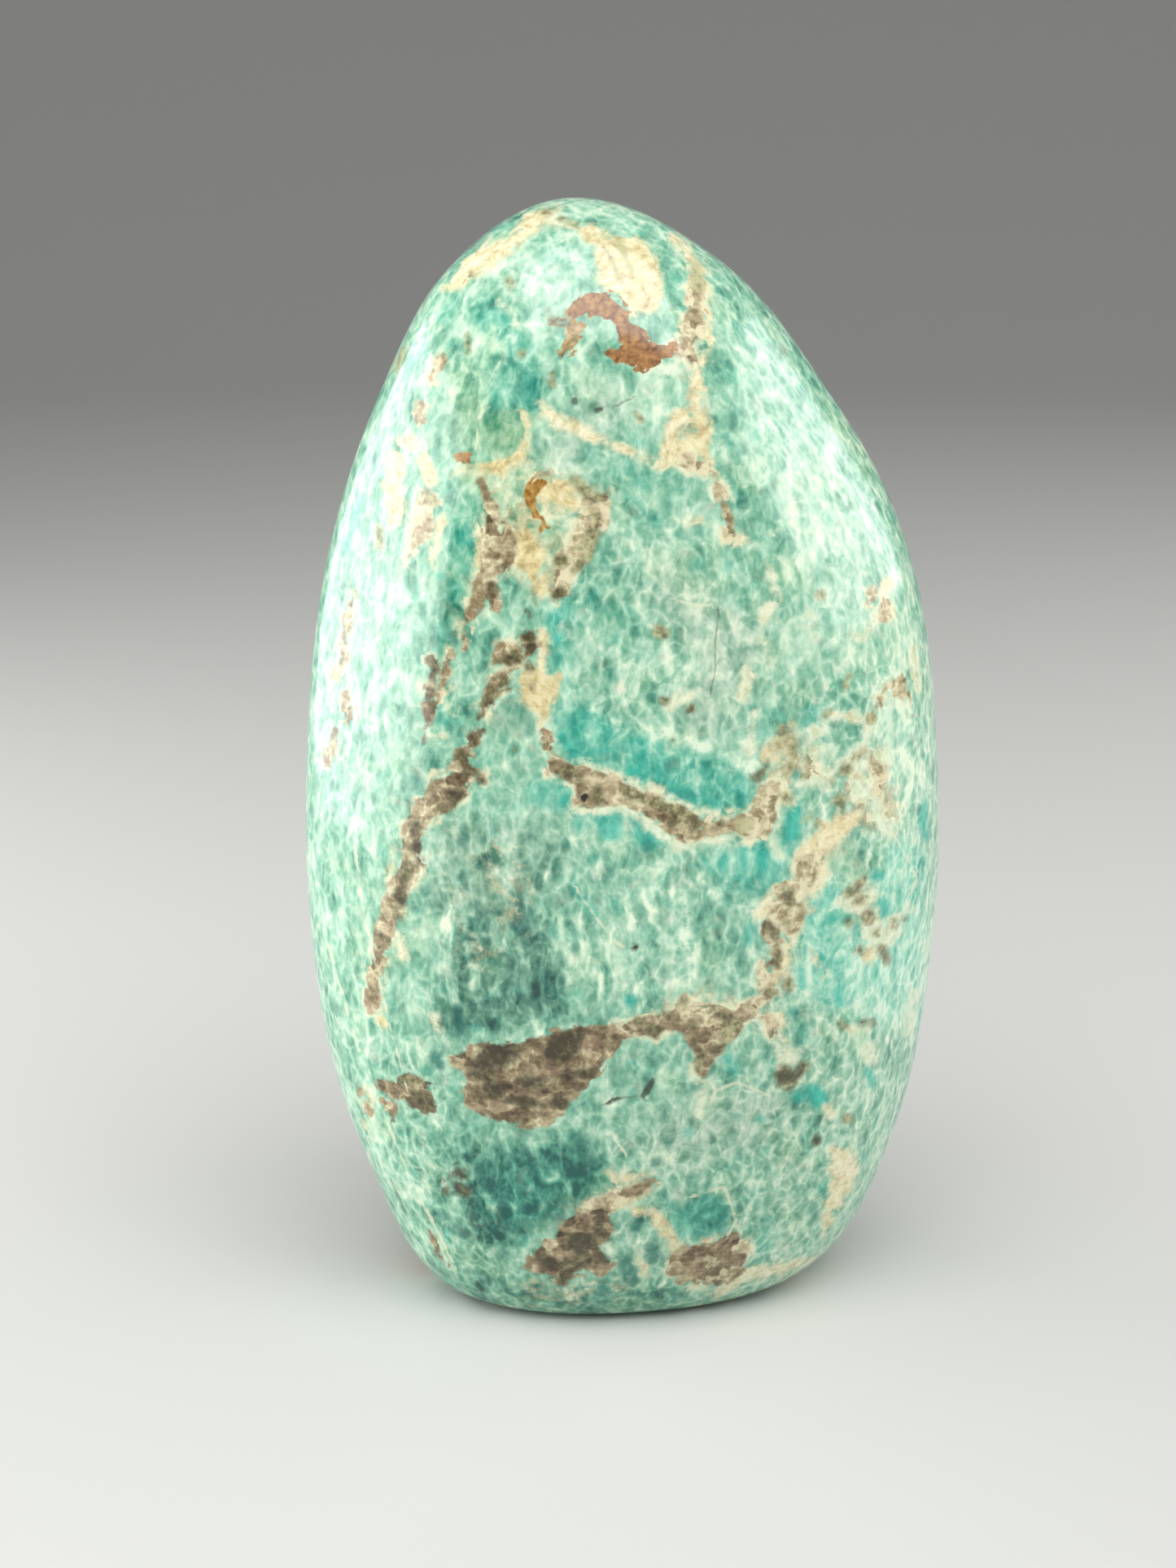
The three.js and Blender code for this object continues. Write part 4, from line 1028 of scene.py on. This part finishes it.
def skin_points():
    """The skin's net of points, rows x columns x 3, from the foot's rim to just under the crown."""
    rings, crown = cad_rings()
    count, around = rings.shape[:2]
    below = 2 * rings[0] - rings[BORDER:0:-1]
    below[..., 2] = rings[BORDER:0:-1, :, 2]
    over = np.roll(rings[: -BORDER - 1 : -1], around // 2, axis=1)
    net = np.concatenate([below, rings, np.broadcast_to(crown, (1, around, 3)), over])
    turn = np.arange(COLUMNS) / COLUMNS
    places = around * (turn - FRONT_SHARE * np.cos(2 * np.pi * turn) / (2 * np.pi))
    first = np.argmin(np.abs(np.arctan2(*(rings[0] - rings[0].mean(0))[:, 1::-1].T)))
    columns = curve_weights(around, places + first, closed=True)
    net = np.einsum("ca,rak->rck", columns, net)
    fine = np.linspace(BORDER, BORDER + count, FINE_ROWS * count + 1)
    fine_net = np.einsum("fr,rck->fck", curve_weights(len(net), fine, closed=False), net)
    rows = np.interp(even_places(fine_net), np.arange(len(fine)), fine)
    skin = np.einsum("fr,rck->fck", curve_weights(len(net), rows, closed=False), net)
    skin[0, :, 2] = 0
    skin[..., 2] = np.maximum(skin[..., 2], 0)
    return skin


def net_normals(skin):
    """Outward normals of the net's points."""
    around = np.roll(skin, -1, axis=1) - np.roll(skin, 1, axis=1)
    upward = np.gradient(skin, axis=0)
    normals = np.cross(around, upward)
    return normals / np.maximum(np.linalg.norm(normals, axis=2, keepdims=True), 1e-12)


def build_skin():
    """The skin's points, their outward normals, its faces, and where they lie on a flat sheet."""
    skin = skin_points()
    normals = net_normals(skin)
    crown = skin[-1].mean(0)
    body = skin[:-1]
    foot_middle = np.array([*body[0].mean(0)[:2], 0])
    shares = np.arange(FOOT_RINGS - 1, 0, -1) / FOOT_RINGS
    foot = foot_middle + shares[:, None, None] * (body[0] - foot_middle)
    points = np.concatenate([foot[::-1].reshape(-1, 3), body.reshape(-1, 3), [foot_middle, crown]])
    up = np.array([0.0, 0.0, 1.0])
    outward = np.concatenate(
        [np.broadcast_to(-up, (foot.shape[0] * COLUMNS, 3)), normals[:-1].reshape(-1, 3), [-up, up]])
    rings = len(foot) + len(body)
    steps = np.linalg.norm(np.diff(skin, axis=0), axis=2).mean(axis=1)
    risen = np.concatenate([[0], np.cumsum(steps)]) / steps.sum()

    def on_foot(ring, column, step):
        """Where a corner of the foot lies on the flat sheet."""
        angle = 2 * math.pi * (column + step) / COLUMNS
        radius = SHEET_DISC * SHEET_FOOT * (ring + 1) / FOOT_RINGS
        return 0.5 * SHEET_FOOT + radius * math.cos(angle), 0.5 * SHEET_FOOT + radius * math.sin(angle)

    def on_side(ring, column, step):
        """Where a corner of the side lies on the flat sheet."""
        across = (column - round(SEAM_TURN * COLUMNS)) % COLUMNS + step
        return across / COLUMNS, SHEET_FOOT + (1 - SHEET_FOOT) * risen[ring - len(foot)]

    faces = []
    sheet = []
    for ring in range(rings - 1):
        low = ring * COLUMNS
        high = low + COLUMNS
        place = on_foot if ring < len(foot) else on_side
        for column in range(COLUMNS):
            after = (column + 1) % COLUMNS
            faces.append((low + column, low + after, high + after, high + column))
            sheet += [place(ring, column, 0), place(ring, column, 1)]
            sheet += [place(ring + 1, column, 1), place(ring + 1, column, 0)]
    foot_index = rings * COLUMNS
    top = (rings - 1) * COLUMNS
    for column in range(COLUMNS):
        after = (column + 1) % COLUMNS
        faces.append((foot_index, after, column))
        sheet += [on_foot(-1, column, 0), on_foot(0, column, 1), on_foot(0, column, 0)]
        faces.append((top + column, top + after, foot_index + 1))
        sheet += [on_side(rings - 1, column, 0), on_side(rings - 1, column, 1)]
        sheet.append(on_side(rings, column, 0.5))
    return points, outward, faces, sheet


# ---------------------------------------------------------------- fields on the skin

BACK_SHIFT = np.array([95.0, -70.0])  # pixels that a deep mark has moved by at the back
BACK_WOBBLE = 60  # pixels that it wanders there
WOBBLE_LENGTHS = (17.0, 29.0, 11.0)  # mm
ONE_WAVE = 6.28  # radians in a whole wave of the wobble
SILHOUETTE = 0.05  # how far past the silhouette the back starts, as a cosine
TURNED = 0.5  # how far past that the marks have moved by all of their shift
UNSEEN_FROM = 0.12  # how far before the silhouette the unseen sides start
UNSEEN_OVER = 0.35  # how far the change to them takes

# The marks whose edges are ragged: the name of how far inside them a point lies, and of their tone
RAGGED_MARKS = {
    ("smoky", "smoke"): SMOKY,
    ("cream", "gold"): CREAM,
    ("rust", "red"): RUST,
    ("pit", "pit_depth"): PITS,
    ("grain", "grain_tone"): GRAINS,
}

# The marks whose edges fade, and over how many pixels to each side
FADING_MARKS = {
    "dark_crystal": (CELLS, 4),
    "blue_crystal": (TURQUOISE, 4),
    "wisps": (WISPS, 5),
    "deep": (DEEP_AND_SHADE, 16),
    "blue": (BLUE, 16),
    "green": (GREEN, 16),
    "tan": (TAN, 16),
    "pale": (PALE_AND_SHEEN, 30),
    "grey": (GREY, 30),
    "streaks": (STREAKS, 30),
    "netted": (NETTED, 30),
}


def wobble(points, phase):
    """A smooth wandering number from -1 to 1 at each point of space."""
    x, y, z = (points / MM).T
    a, b, c = WOBBLE_LENGTHS
    waves = (
        np.sin(x / a * ONE_WAVE + 1.3 * phase + 1.1 * np.sin(z / b * ONE_WAVE + phase)),
        np.sin(z / a * ONE_WAVE + 2.1 * phase + 1.3 * np.sin(x / c * ONE_WAVE / 2 + phase)),
        np.sin(y / a * ONE_WAVE + 3.7 * phase + 0.9 * np.sin((x + z) / b * ONE_WAVE + phase)),
    )
    return (waves[0] + waves[1] + waves[2]) / 3


def fields(points, outward):
    """Every marking as a number at every point: mm inside it, or how strong it is there."""
    to_camera = CAMERA_AT - points
    to_camera = to_camera / np.linalg.norm(to_camera, axis=1, keepdims=True)
    facing = np.sum(outward * to_camera, axis=1)
    behind = hold(0, -facing - SILHOUETTE, 1)
    turned = smooth_share(behind / TURNED)
    wander = np.stack([wobble(points, 0.4), wobble(points, 2.3)], axis=1)
    pixels = pixels_of(points) + turned[:, None] * (BACK_SHIFT + BACK_WOBBLE * wander)
    values = {"unseen": smooth_share((UNSEEN_FROM - facing) / UNSEEN_OVER)}
    for (inside_name, tone_name), marks in RAGGED_MARKS.items():
        values[inside_name], values[tone_name] = mark_field(marks, pixels, behind)
    for name, (marks, feather) in FADING_MARKS.items():
        values[name] = soft_weight(marks, pixels, behind, feather)
    values["pale_side"], values["pale_away"] = line_fields(PALE_LINES, pixels, behind)
    values["dark_side"], values["dark_away"] = line_fields(DARK_LINES, pixels, behind)
    return values


PIT_DEPTH = 0.45 * MM
PIT_SLOPE = 0.35  # mm from a pit's edge to its full depth
PIT_MARGIN = 0.1  # mm outside a pit's outline where its slope starts
WAVE_HEIGHT = 0.04 * MM  # of the waves that polishing by hand leaves
WAVES_FROM = 2 * MM  # height above the foot where the waves start
WAVES_OVER = 4 * MM  # height that they take to reach their full depth


def make_stone():
    """The stone's skin with its pits, waves, fields and material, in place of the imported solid."""
    points, outward, faces, sheet = build_skin()
    values = fields(points, outward)
    slope = hold(0, (values["pit"] + PIT_MARGIN) / PIT_SLOPE, 1) * (points[:, 2] > MM)
    points = points - outward * (PIT_DEPTH * slope * values["pit_depth"])[:, None]
    polished = hold(0, (points[:, 2] - WAVES_FROM) / WAVES_OVER, 1)
    points = points - outward * (WAVE_HEIGHT * polished * (1 + wobble(points, 5.1)))[:, None]
    mesh = bpy.data.meshes.new("amazonite")
    mesh.from_pydata(points.tolist(), [], faces)
    mesh.validate()
    mesh.shade_smooth()
    mesh.uv_layers.new(name="OFBake").data.foreach_set("uv", np.ravel(sheet))
    for name, numbers in values.items():
        layer = mesh.attributes.new(name, "FLOAT", "POINT")
        layer.data.foreach_set("value", numbers.astype(np.float32))
    stone = bpy.data.objects.new("amazonite", mesh)
    bpy.context.scene.collection.objects.link(stone)
    mesh.materials.append(stone_material())
    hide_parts(NODE)
    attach(stone, "root")
    return stone


# ---------------------------------------------------------------- the material


def shade(red, green, blue):
    """A colour given as the 0 to 255 numbers it is seen as, in the light the renderer works with."""
    parts = [c / 255 for c in (red, green, blue)]
    return tuple(c / 12.92 if c <= 0.04045 else ((c + 0.055) / 1.055) ** 2.4 for c in parts) + (1.0,)


class Pattern:
    """Adds nodes to a material, so that its pattern reads as a list of formulas."""

    def __init__(self, tree):
        self.tree = tree

    def node(self, kind, inputs, **settings):
        """A new node, with each input set to its number or colour, or linked to its socket."""
        node = self.tree.nodes.new(kind)
        for name, setting in settings.items():
            setattr(node, name, setting)
        for name, value in inputs.items():
            if isinstance(value, bpy.types.NodeSocket):
                self.tree.links.new(value, node.inputs[name])
            else:
                node.inputs[name].default_value = value
        return node

    def number(self, operation, *values):
        """The result of one sum on numbers."""
        return self.node("ShaderNodeMath", dict(enumerate(values)), operation=operation).outputs[0]

    def add(self, first, *rest):
        for value in rest:
            first = self.number("ADD", first, value)
        return first

    def times(self, first, *rest):
        for value in rest:
            first = self.number("MULTIPLY", first, value)
        return first

    def less(self, a, b):
        return self.number("SUBTRACT", a, b)

    def most(self, a, b):
        """The larger of the two."""
        return self.number("MAXIMUM", a, b)

    def size(self, value):
        """The number without its sign."""
        return self.number("ABSOLUTE", value)

    def vector(self, operation, a, b):
        """The result of one sum on places."""
        return self.node("ShaderNodeVectorMath", {0: a, 1: b}, operation=operation).outputs[0]

    def ease(self, value, low, high, top=1.0):
        """0 where value is at low or past it, and top at high, with a smooth change between."""
        inputs = {"Value": value, "From Min": low, "From Max": high, "To Max": top}
        return self.node("ShaderNodeMapRange", inputs, interpolation_type="SMOOTHSTEP").outputs[0]

    def noise_node(self, place, length, detail, roughness):
        """The node behind noise and pull."""
        inputs = {"Vector": place, "Scale": 1 / length, "Detail": detail, "Roughness": roughness}
        return self.node("ShaderNodeTexNoise", inputs, noise_dimensions="3D")

    def noise(self, place, length, detail=2.0, roughness=0.5):
        """Smooth noise round 0, from about -0.5 to 0.5, in patches about length mm across."""
        return self.less(self.noise_node(place, length, detail, roughness).outputs["Fac"], 0.5)

    def pull(self, place, length, reach, detail=2.0):
        """The place, pulled about by up to reach mm in patches about length mm across."""
        colour = self.noise_node(place, length, detail, 0.5).outputs["Color"]
        offset = self.vector("SUBTRACT", colour, (0.5, 0.5, 0.5))
        return self.vector("ADD", place, self.vector("MULTIPLY", offset, (2 * reach,) * 3))

    def cells(self, place, length, feature="F1"):
        """The cells of a Voronoi pattern, about length mm across."""
        return self.node("ShaderNodeTexVoronoi", {"Vector": place, "Scale": 1 / length}, feature=feature)

    def cells_and_mesh(self, place, length, width):
        """A random number for each cell, and the mesh of the borders between cells, from 0 to 1."""
        near = self.cells(place, length)
        next_near = self.cells(place, length, "F2")
        gap = self.less(next_near.outputs["Distance"], near.outputs["Distance"])
        number = self.node("ShaderNodeSeparateColor", {"Color": near.outputs["Color"]}).outputs[0]
        return number, self.ease(gap, width, 0.0)

    def field(self, name):
        """The number that the skin carries under this name."""
        return self.node("ShaderNodeAttribute", {}, attribute_name=name).outputs["Fac"]

    def blend(self, share, first, second):
        """first where share is 0 and second where it is 1."""
        node = self.node("ShaderNodeMix", {0: share}, data_type="RGBA")
        for socket, colour in ((node.inputs[6], first), (node.inputs[7], second)):
            if isinstance(colour, bpy.types.NodeSocket):
                self.tree.links.new(colour, socket)
            else:
                socket.default_value = colour
        return node.outputs[2]

    def ramp(self, value, *stops):
        """A colour read off a strip of (position, colour) stops."""
        node = self.node("ShaderNodeValToRGB", {"Fac": value})
        elements = node.color_ramp.elements
        while len(elements) < len(stops):
            elements.new(0.5)
        for element, (position, colour) in zip(elements, stops):
            element.position = position
            element.color = colour
        return node.outputs["Color"]


GRAIN = 1.6  # mm across a grain of quartz
DARK_TEAL = shade(10, 74, 66)
DEEP_TEAL = shade(34, 100, 87)
TEAL = shade(84, 144, 122)
SEA_GREEN = shade(130, 185, 157)
PALE_GREEN = shade(184, 219, 192)
MESH_CREAM = shade(228, 242, 214)


def feldspar_tone(p, place, mottle):
    """How pale the feldspar is: soft deep cells in a pale mesh, drawn out into streaks in places."""
    bent = p.pull(p.pull(place, 3.0, 0.6, 1.0), 1.3, 0.22, 1.0)
    upright = p.vector("MULTIPLY", bent, (1.0, 1.0, 0.7))
    fibres = p.vector("MULTIPLY", bent, (1.0, 1.0, 0.45))
    drawn = p.vector("MULTIPLY", bent, (1.0, 1.0, 0.3))
    wide_cell, wide_mesh = p.cells_and_mesh(upright, 2.0, 0.45)
    cell, mesh = p.cells_and_mesh(upright, 1.25, 0.52)
    thin_mesh = p.times(p.ease(mesh, 0.55, 1.0), p.ease(mottle, -0.12, 0.12))
    presence = p.ease(p.noise(place, 3.0, 1.0), -0.15, 0.15)
    absence = p.less(1.0, presence)
    strokes = p.ease(p.size(p.noise(upright, 2.6, 1.0)), 0.2, 0.0)
    strokes = p.times(strokes, p.ease(p.noise(place, 2.2, 1.0), 0.0, 0.15))
    streak = p.ease(p.noise(drawn, 1.3, 2.0), 0.0, 0.3)
    patches = p.add(
        p.times(p.noise(place, 14.0, 2.0), 0.25),
        p.times(p.field("unseen"), p.noise(bent, 7.0, 3.0, 0.6)))
    areas = p.noise(bent, 3.6, 2.0)
    return p.add(
        0.43,
        p.times(p.noise(place, 0.5, 2.0), 0.22),
        patches,
        p.times(areas, 0.34),
        p.times(mottle, 0.3),
        p.times(p.less(wide_cell, 0.5), 0.16),
        p.times(p.less(cell, 0.5), 0.12),
        p.times(wide_mesh, p.add(0.04, p.times(presence, 0.14))),
        p.times(mesh, p.add(0.06, p.times(absence, 0.1))),
        p.times(strokes, 0.1),
        p.times(p.noise(fibres, 1.1, 2.0, 0.6), 0.7),
        p.times(streak, p.add(0.16, p.times(p.most(p.field("streaks"), p.field("deep")), 0.26))),
        p.times(p.field("netted"), p.less(p.times(thin_mesh, 0.2), 0.02)),
        # The pale marks lighten here, which also paints in sheen and highlight on the crown, the upper
        # right and the left bevel
        p.times(p.field("pale"), 0.3),
        p.times(p.field("wisps"), p.add(0.2, mottle)),
        # The deep marks darken here, which also paints in the shade of the foot
        p.times(p.field("deep"), -0.36))


def feldspar(p, place, pulled, mottle):
    """Blue-green feldspar, bluer, greyer or greener in places, with single crystals in it."""
    tone = feldspar_tone(p, place, mottle)
    colour = p.ramp(
        p.times(p.add(tone, 0.2), 1 / 1.2),
        (0.0, shade(12, 54, 48)),
        (0.17, DARK_TEAL),
        (0.27, DEEP_TEAL),
        (0.43, TEAL),
        (0.62, SEA_GREEN),
        (0.82, PALE_GREEN),
        (1.0, MESH_CREAM))
    cool = p.most(p.ease(p.noise(pulled, 2.2, 2.0), 0.02, 0.25, 0.4), p.field("blue"))
    cool = p.most(cool, p.times(p.field("unseen"), p.ease(p.noise(pulled, 10.0, 2.0), 0.02, 0.2, 0.8)))
    colour = p.blend(cool, colour, p.ramp(
        tone,
        (0.0, shade(0, 112, 102)),
        (0.45, shade(66, 180, 158)),
        (0.85, shade(176, 228, 202)),
        (1.0, shade(214, 242, 220))))
    warm = p.most(p.ease(p.noise(pulled, 1.7, 2.0), 0.05, 0.28, 0.45), p.field("grey"))
    colour = p.blend(warm, colour, p.ramp(
        tone, (0.0, shade(66, 88, 76)), (0.3, shade(120, 140, 118)), (0.88, shade(222, 218, 200))))
    green = p.add(p.field("green"), p.ease(p.noise(place, 5.0, 2.0), 0.03, 0.22, 0.5))
    colour = p.blend(
        p.times(green, 0.5),
        colour,
        p.ramp(tone, (0.0, shade(48, 118, 84)), (0.25, shade(84, 150, 106)), (0.8, shade(204, 226, 184))))

    # The single crystals are smoother than the rest
    smooth = p.add(0.5, p.times(mottle, 0.8), p.times(p.less(tone, 0.5), 0.4))
    dark = p.ramp(smooth, (0.2, shade(16, 82, 74)), (0.8, shade(76, 150, 130)))
    blue = p.ramp(smooth, (0.2, shade(0, 130, 116)), (0.8, shade(78, 200, 176)))
    return p.blend(p.field("blue_crystal"), p.blend(p.field("dark_crystal"), colour, dark), blue)


def tan_mottle(p, grains, speckle):
    """Small grains of brownish, tan and cream feldspar side by side."""
    tone = p.add(0.56, p.times(p.less(grains, 0.5), 0.6), p.times(speckle, 0.9))
    return p.ramp(
        tone,
        (0.1, shade(128, 116, 84)),
        (0.38, shade(194, 176, 136)),
        (0.62, shade(228, 218, 176)),
        (0.9, shade(248, 244, 214)))


def cream_feldspar(p, pulled):
    """Cream feldspar, or golden where the mark's tone says so."""
    tone = p.add(0.5, p.noise(pulled, 1.1, 4.0, 0.7))
    cream = p.ramp(
        tone,
        (0.3, shade(200, 182, 138)),
        (0.48, shade(240, 230, 190)),
        (0.66, shade(252, 248, 226)))
    golden = p.ramp(
        tone,
        (0.32, shade(160, 134, 80)),
        (0.55, shade(214, 196, 132)),
        (0.72, shade(236, 226, 178)))
    pale = p.ramp(tone, (0.32, shade(192, 214, 180)), (0.6, shade(228, 240, 214)))
    warm = p.ease(p.field("gold"), 0.0, 0.25)
    return p.blend(p.field("gold"), p.blend(warm, pale, cream), golden)


def quartz(p, place, grains, borders, speckle):
    """Smoky quartz: brown grains of different depths with paler borders here and there."""
    borders = p.times(borders, p.ease(p.noise(place, 2.0, 1.0), -0.12, 0.1))
    layers = p.noise(p.vector("MULTIPLY", place, (0.4, 0.4, 1.6)), 1.3, 3.0, 0.6)
    tone = p.add(
        0.76,
        p.times(p.field("smoke"), -0.5),
        p.times(p.less(grains, 0.5), 0.5),
        p.times(layers, 0.75),
        p.times(speckle, 1.0),
        p.times(borders, 0.3))
    brown = p.ramp(
        tone,
        (0.0, shade(60, 49, 33)),
        (0.28, shade(106, 92, 66)),
        (0.56, shade(152, 138, 106)),
        (0.8, shade(192, 182, 146)),
        (1.0, shade(224, 216, 180)))
    pink = p.ease(p.noise(place, 2.2, 2.0), 0.0, 0.18, 0.3)
    return p.blend(pink, brown, shade(178, 148, 122))


def iron_stain(p, speckle):
    """Iron stain: tan where the mark's tone is low, then orange, and red-brown where it is high."""
    red = p.field("red")
    tone = p.add(0.5, speckle)
    tan = p.ramp(tone, (0.35, shade(150, 120, 78)), (0.68, shade(208, 184, 138)))
    orange = p.ramp(tone, (0.35, shade(134, 92, 34)), (0.68, shade(198, 158, 92)))
    red_brown = p.ramp(tone, (0.3, shade(90, 56, 32)), (0.65, shade(184, 138, 90)))
    colour = p.blend(p.ease(red, 0.35, 0.5), tan, orange)
    return p.blend(p.ease(red, 0.8, 0.95), colour, red_brown)


def unseen_veins(p, place):
    """About how many mm inside the veins each place is, on the sides and back only."""
    course = p.size(p.noise(p.pull(place, 9.0, 5.0), 18.0, 2.0))
    width = p.times(p.ease(p.noise(place, 9.0, 2.0), -0.08, 0.2), 1.7)
    hidden = p.times(p.less(p.field("unseen"), 1.0), 4.0)
    return p.add(-0.6, width, p.times(course, -30.0), hidden)


def thin_line(p, name, half_width, ragged):
    """1 on the thin lines of one kind, whose half width in mm wanders with ragged."""
    near = p.ease(p.field(name + "_away"), 1.0, 0.6)
    width = p.times(p.add(0.5, p.times(ragged, 2.4)), 2 * half_width)
    return p.times(near, p.ease(p.less(p.size(p.field(name + "_side")), width), 0.1, -0.08))


def stone_material():
    """The polished stone: feldspar, with the other minerals, lines and pits laid over it in turn."""
    material = bpy.data.materials.new("amazonite")
    material.use_nodes = True
    tree = material.node_tree
    tree.nodes.clear()
    p = Pattern(tree)
    coordinates = p.node("ShaderNodeTexCoord", {}).outputs["Object"]
    place = p.vector("MULTIPLY", coordinates, (1 / MM,) * 3)
    pulled = p.pull(p.pull(place, 7.0, 2.0), 1.8, 0.5)
    mottle = p.noise(pulled, 1.5, 3.0, 0.6)
    speckle = p.noise(place, 0.8, 3.0, 0.65)
    ragged = p.noise(place, 1.3, 4.0, 0.6)
    grain_place = p.pull(place, 1.0, 0.75)
    grains, borders = p.cells_and_mesh(grain_place, GRAIN, 0.4)
    rag = p.add(p.times(ragged, 1.3), p.times(p.less(grains, 0.5), 0.8))

    colour = feldspar(p, place, pulled, mottle)
    tan = p.ease(p.add(p.field("tan"), p.times(mottle, 1.4), p.times(ragged, 0.7)), 0.15, 0.85)
    colour = p.blend(p.times(tan, 0.85), colour, tan_mottle(p, grains, speckle))
    veins = unseen_veins(p, place)
    cream = p.most(p.field("cream"), p.add(veins, 0.5))
    cream = p.add(cream, p.times(rag, 0.8), p.times(mottle, 1.3))
    colour = p.blend(p.ease(cream, -0.5, 0.55, 0.96), colour, cream_feldspar(p, pulled))

    smoky_field = p.add(p.most(p.field("smoky"), veins), rag)
    rim = p.times(p.ease(smoky_field, -0.8, -0.3), p.ease(p.noise(place, 2.2, 2.0), -0.05, 0.15))
    rim = p.times(rim, p.ease(p.field("smoke"), 0.85, 0.55, 0.8))
    colour = p.blend(rim, colour, shade(234, 228, 190))
    smoky = p.ease(smoky_field, -0.2, 0.22)
    colour = p.blend(smoky, colour, quartz(p, place, grains, borders, speckle))
    rust = p.ease(p.add(p.field("rust"), rag), -0.1, 0.1)
    colour = p.blend(rust, colour, iron_stain(p, speckle))
    grain = p.times(p.ease(p.add(p.field("grain"), p.times(rag, 0.5)), -0.45, 0.35), 0.9)
    grain_tone = p.less(p.field("grain_tone"), p.add(p.times(speckle, 1.6), p.times(mottle, 0.9)))
    colour = p.blend(grain, colour, p.ramp(
        grain_tone, (0.15, shade(186, 184, 140)), (0.6, shade(112, 110, 76)), (1.0, shade(57, 52, 34))))

    pale_line = p.times(thin_line(p, "pale", 0.14, ragged), p.ease(p.noise(place, 1.7, 1.0), -0.12, 0.05))
    colour = p.blend(p.times(pale_line, 0.7), colour, shade(222, 228, 196))
    dark_line = thin_line(p, "dark", 0.09, ragged)
    colour = p.blend(p.times(dark_line, 0.5), colour, shade(92, 86, 62))
    pit = p.ease(p.add(p.field("pit"), p.times(ragged, 0.4)), -0.12, 0.12)
    colour = p.blend(p.times(pit, p.field("pit_depth")), colour, shade(48, 46, 36))

    # Polish: duller on the quartz and in the pits, and matt on the sawn foot
    height = p.node("ShaderNodeSeparateXYZ", {"Vector": place}).outputs["Z"]
    foot = p.ease(height, 0.25, 0.05)
    roughness = p.add(
        0.13, p.times(ragged, 0.08), p.times(smoky, 0.08), p.times(p.most(pit, foot), 0.4))
    surface = p.node(
        "ShaderNodeBsdfPrincipled", {"Base Color": colour, "Roughness": roughness, "IOR": 1.53})
    p.node("ShaderNodeOutputMaterial", {"Surface": surface.outputs[0]})
    return material


# ---------------------------------------------------------------- the stage


def plain_material(name, colour, roughness):
    """A material of one colour."""
    material = bpy.data.materials.new(name)
    material.use_nodes = True
    surface = material.node_tree.nodes["Principled BSDF"]
    surface.inputs["Base Color"].default_value = colour
    surface.inputs["Roughness"].default_value = roughness
    return material


STAGE_FLAT = 0.9  # radius of the level floor
STAGE_BEND = 0.9  # radius of the bend that lifts the floor into a wall all round
STAGE_SIDES = 96
STAGE_STEPS = 24


def make_stage():
    """A pale floor that bends up into a pale wall all round, with no edge between them."""
    profile = [(0.0, 0.0), (STAGE_FLAT / 2, 0.0)]
    for step in range(STAGE_STEPS + 1):
        angle = math.pi / 2 * step / STAGE_STEPS
        profile.append((STAGE_FLAT + STAGE_BEND * math.sin(angle), STAGE_BEND * (1 - math.cos(angle))))
    points = [(0.0, 0.0, 0.0)]
    faces = []
    for radius, height in profile[1:]:
        for side in range(STAGE_SIDES):
            angle = 2 * math.pi * side / STAGE_SIDES
            points.append((radius * math.cos(angle), radius * math.sin(angle), height))
    for side in range(STAGE_SIDES):
        after = (side + 1) % STAGE_SIDES
        faces.append((0, 1 + side, 1 + after))
        for ring in range(len(profile) - 2):
            low = 1 + ring * STAGE_SIDES
            high = low + STAGE_SIDES
            faces.append((low + side, high + side, high + after, low + after))
    mesh = bpy.data.meshes.new("floor")
    mesh.from_pydata(points, [], faces)
    mesh.shade_smooth()
    mesh.materials.append(plain_material("floor", shade(202, 202, 199), 0.6))
    floor = bpy.data.objects.new("floor", mesh)
    bpy.context.scene.collection.objects.link(floor)


# Softboxes: where each stands and the point it is turned to, in metres, its width and height, and
# how bright its face is.
Softbox = namedtuple("Softbox", "place aim width height brightness")
SOFTBOXES = {
    "left": Softbox((-0.33, -0.02, 0.12), (0, -0.02, 0.07), 0.56, 0.24, 3.7),
    "right": Softbox((0.50, -0.02, 0.27), (0, -0.01, 0.08), 0.80, 0.26, 2.8),
    "top": Softbox((0.06, -0.38, 0.82), (0, 0, 0.06), 0.95, 0.60, 4.2),
}
WORLD_BRIGHTNESS = 0.2


def make_lights():
    """The softboxes, and a dim even light from all round."""
    for name, box in SOFTBOXES.items():
        data = bpy.data.lights.new(name, "AREA")
        data.shape = "RECTANGLE"
        data.size = box.width
        data.size_y = box.height
        data.energy = box.brightness * math.pi * box.width * box.height
        light = bpy.data.objects.new(name, data)
        light.location = box.place
        light.rotation_euler = (Vector(box.place) - Vector(box.aim)).to_track_quat("Z", "Y").to_euler()
        light.visible_camera = False
        bpy.context.scene.collection.objects.link(light)
    world = bpy.data.worlds.new("world")
    world.use_nodes = True
    world.node_tree.nodes["Background"].inputs["Color"].default_value = (1.0, 1.0, 1.0, 1.0)
    world.node_tree.nodes["Background"].inputs["Strength"].default_value = WORLD_BRIGHTNESS
    bpy.context.scene.world = world


make_camera()
make_stage()
make_lights()
make_stone()
bpy.context.scene.view_settings.view_transform = "Standard"
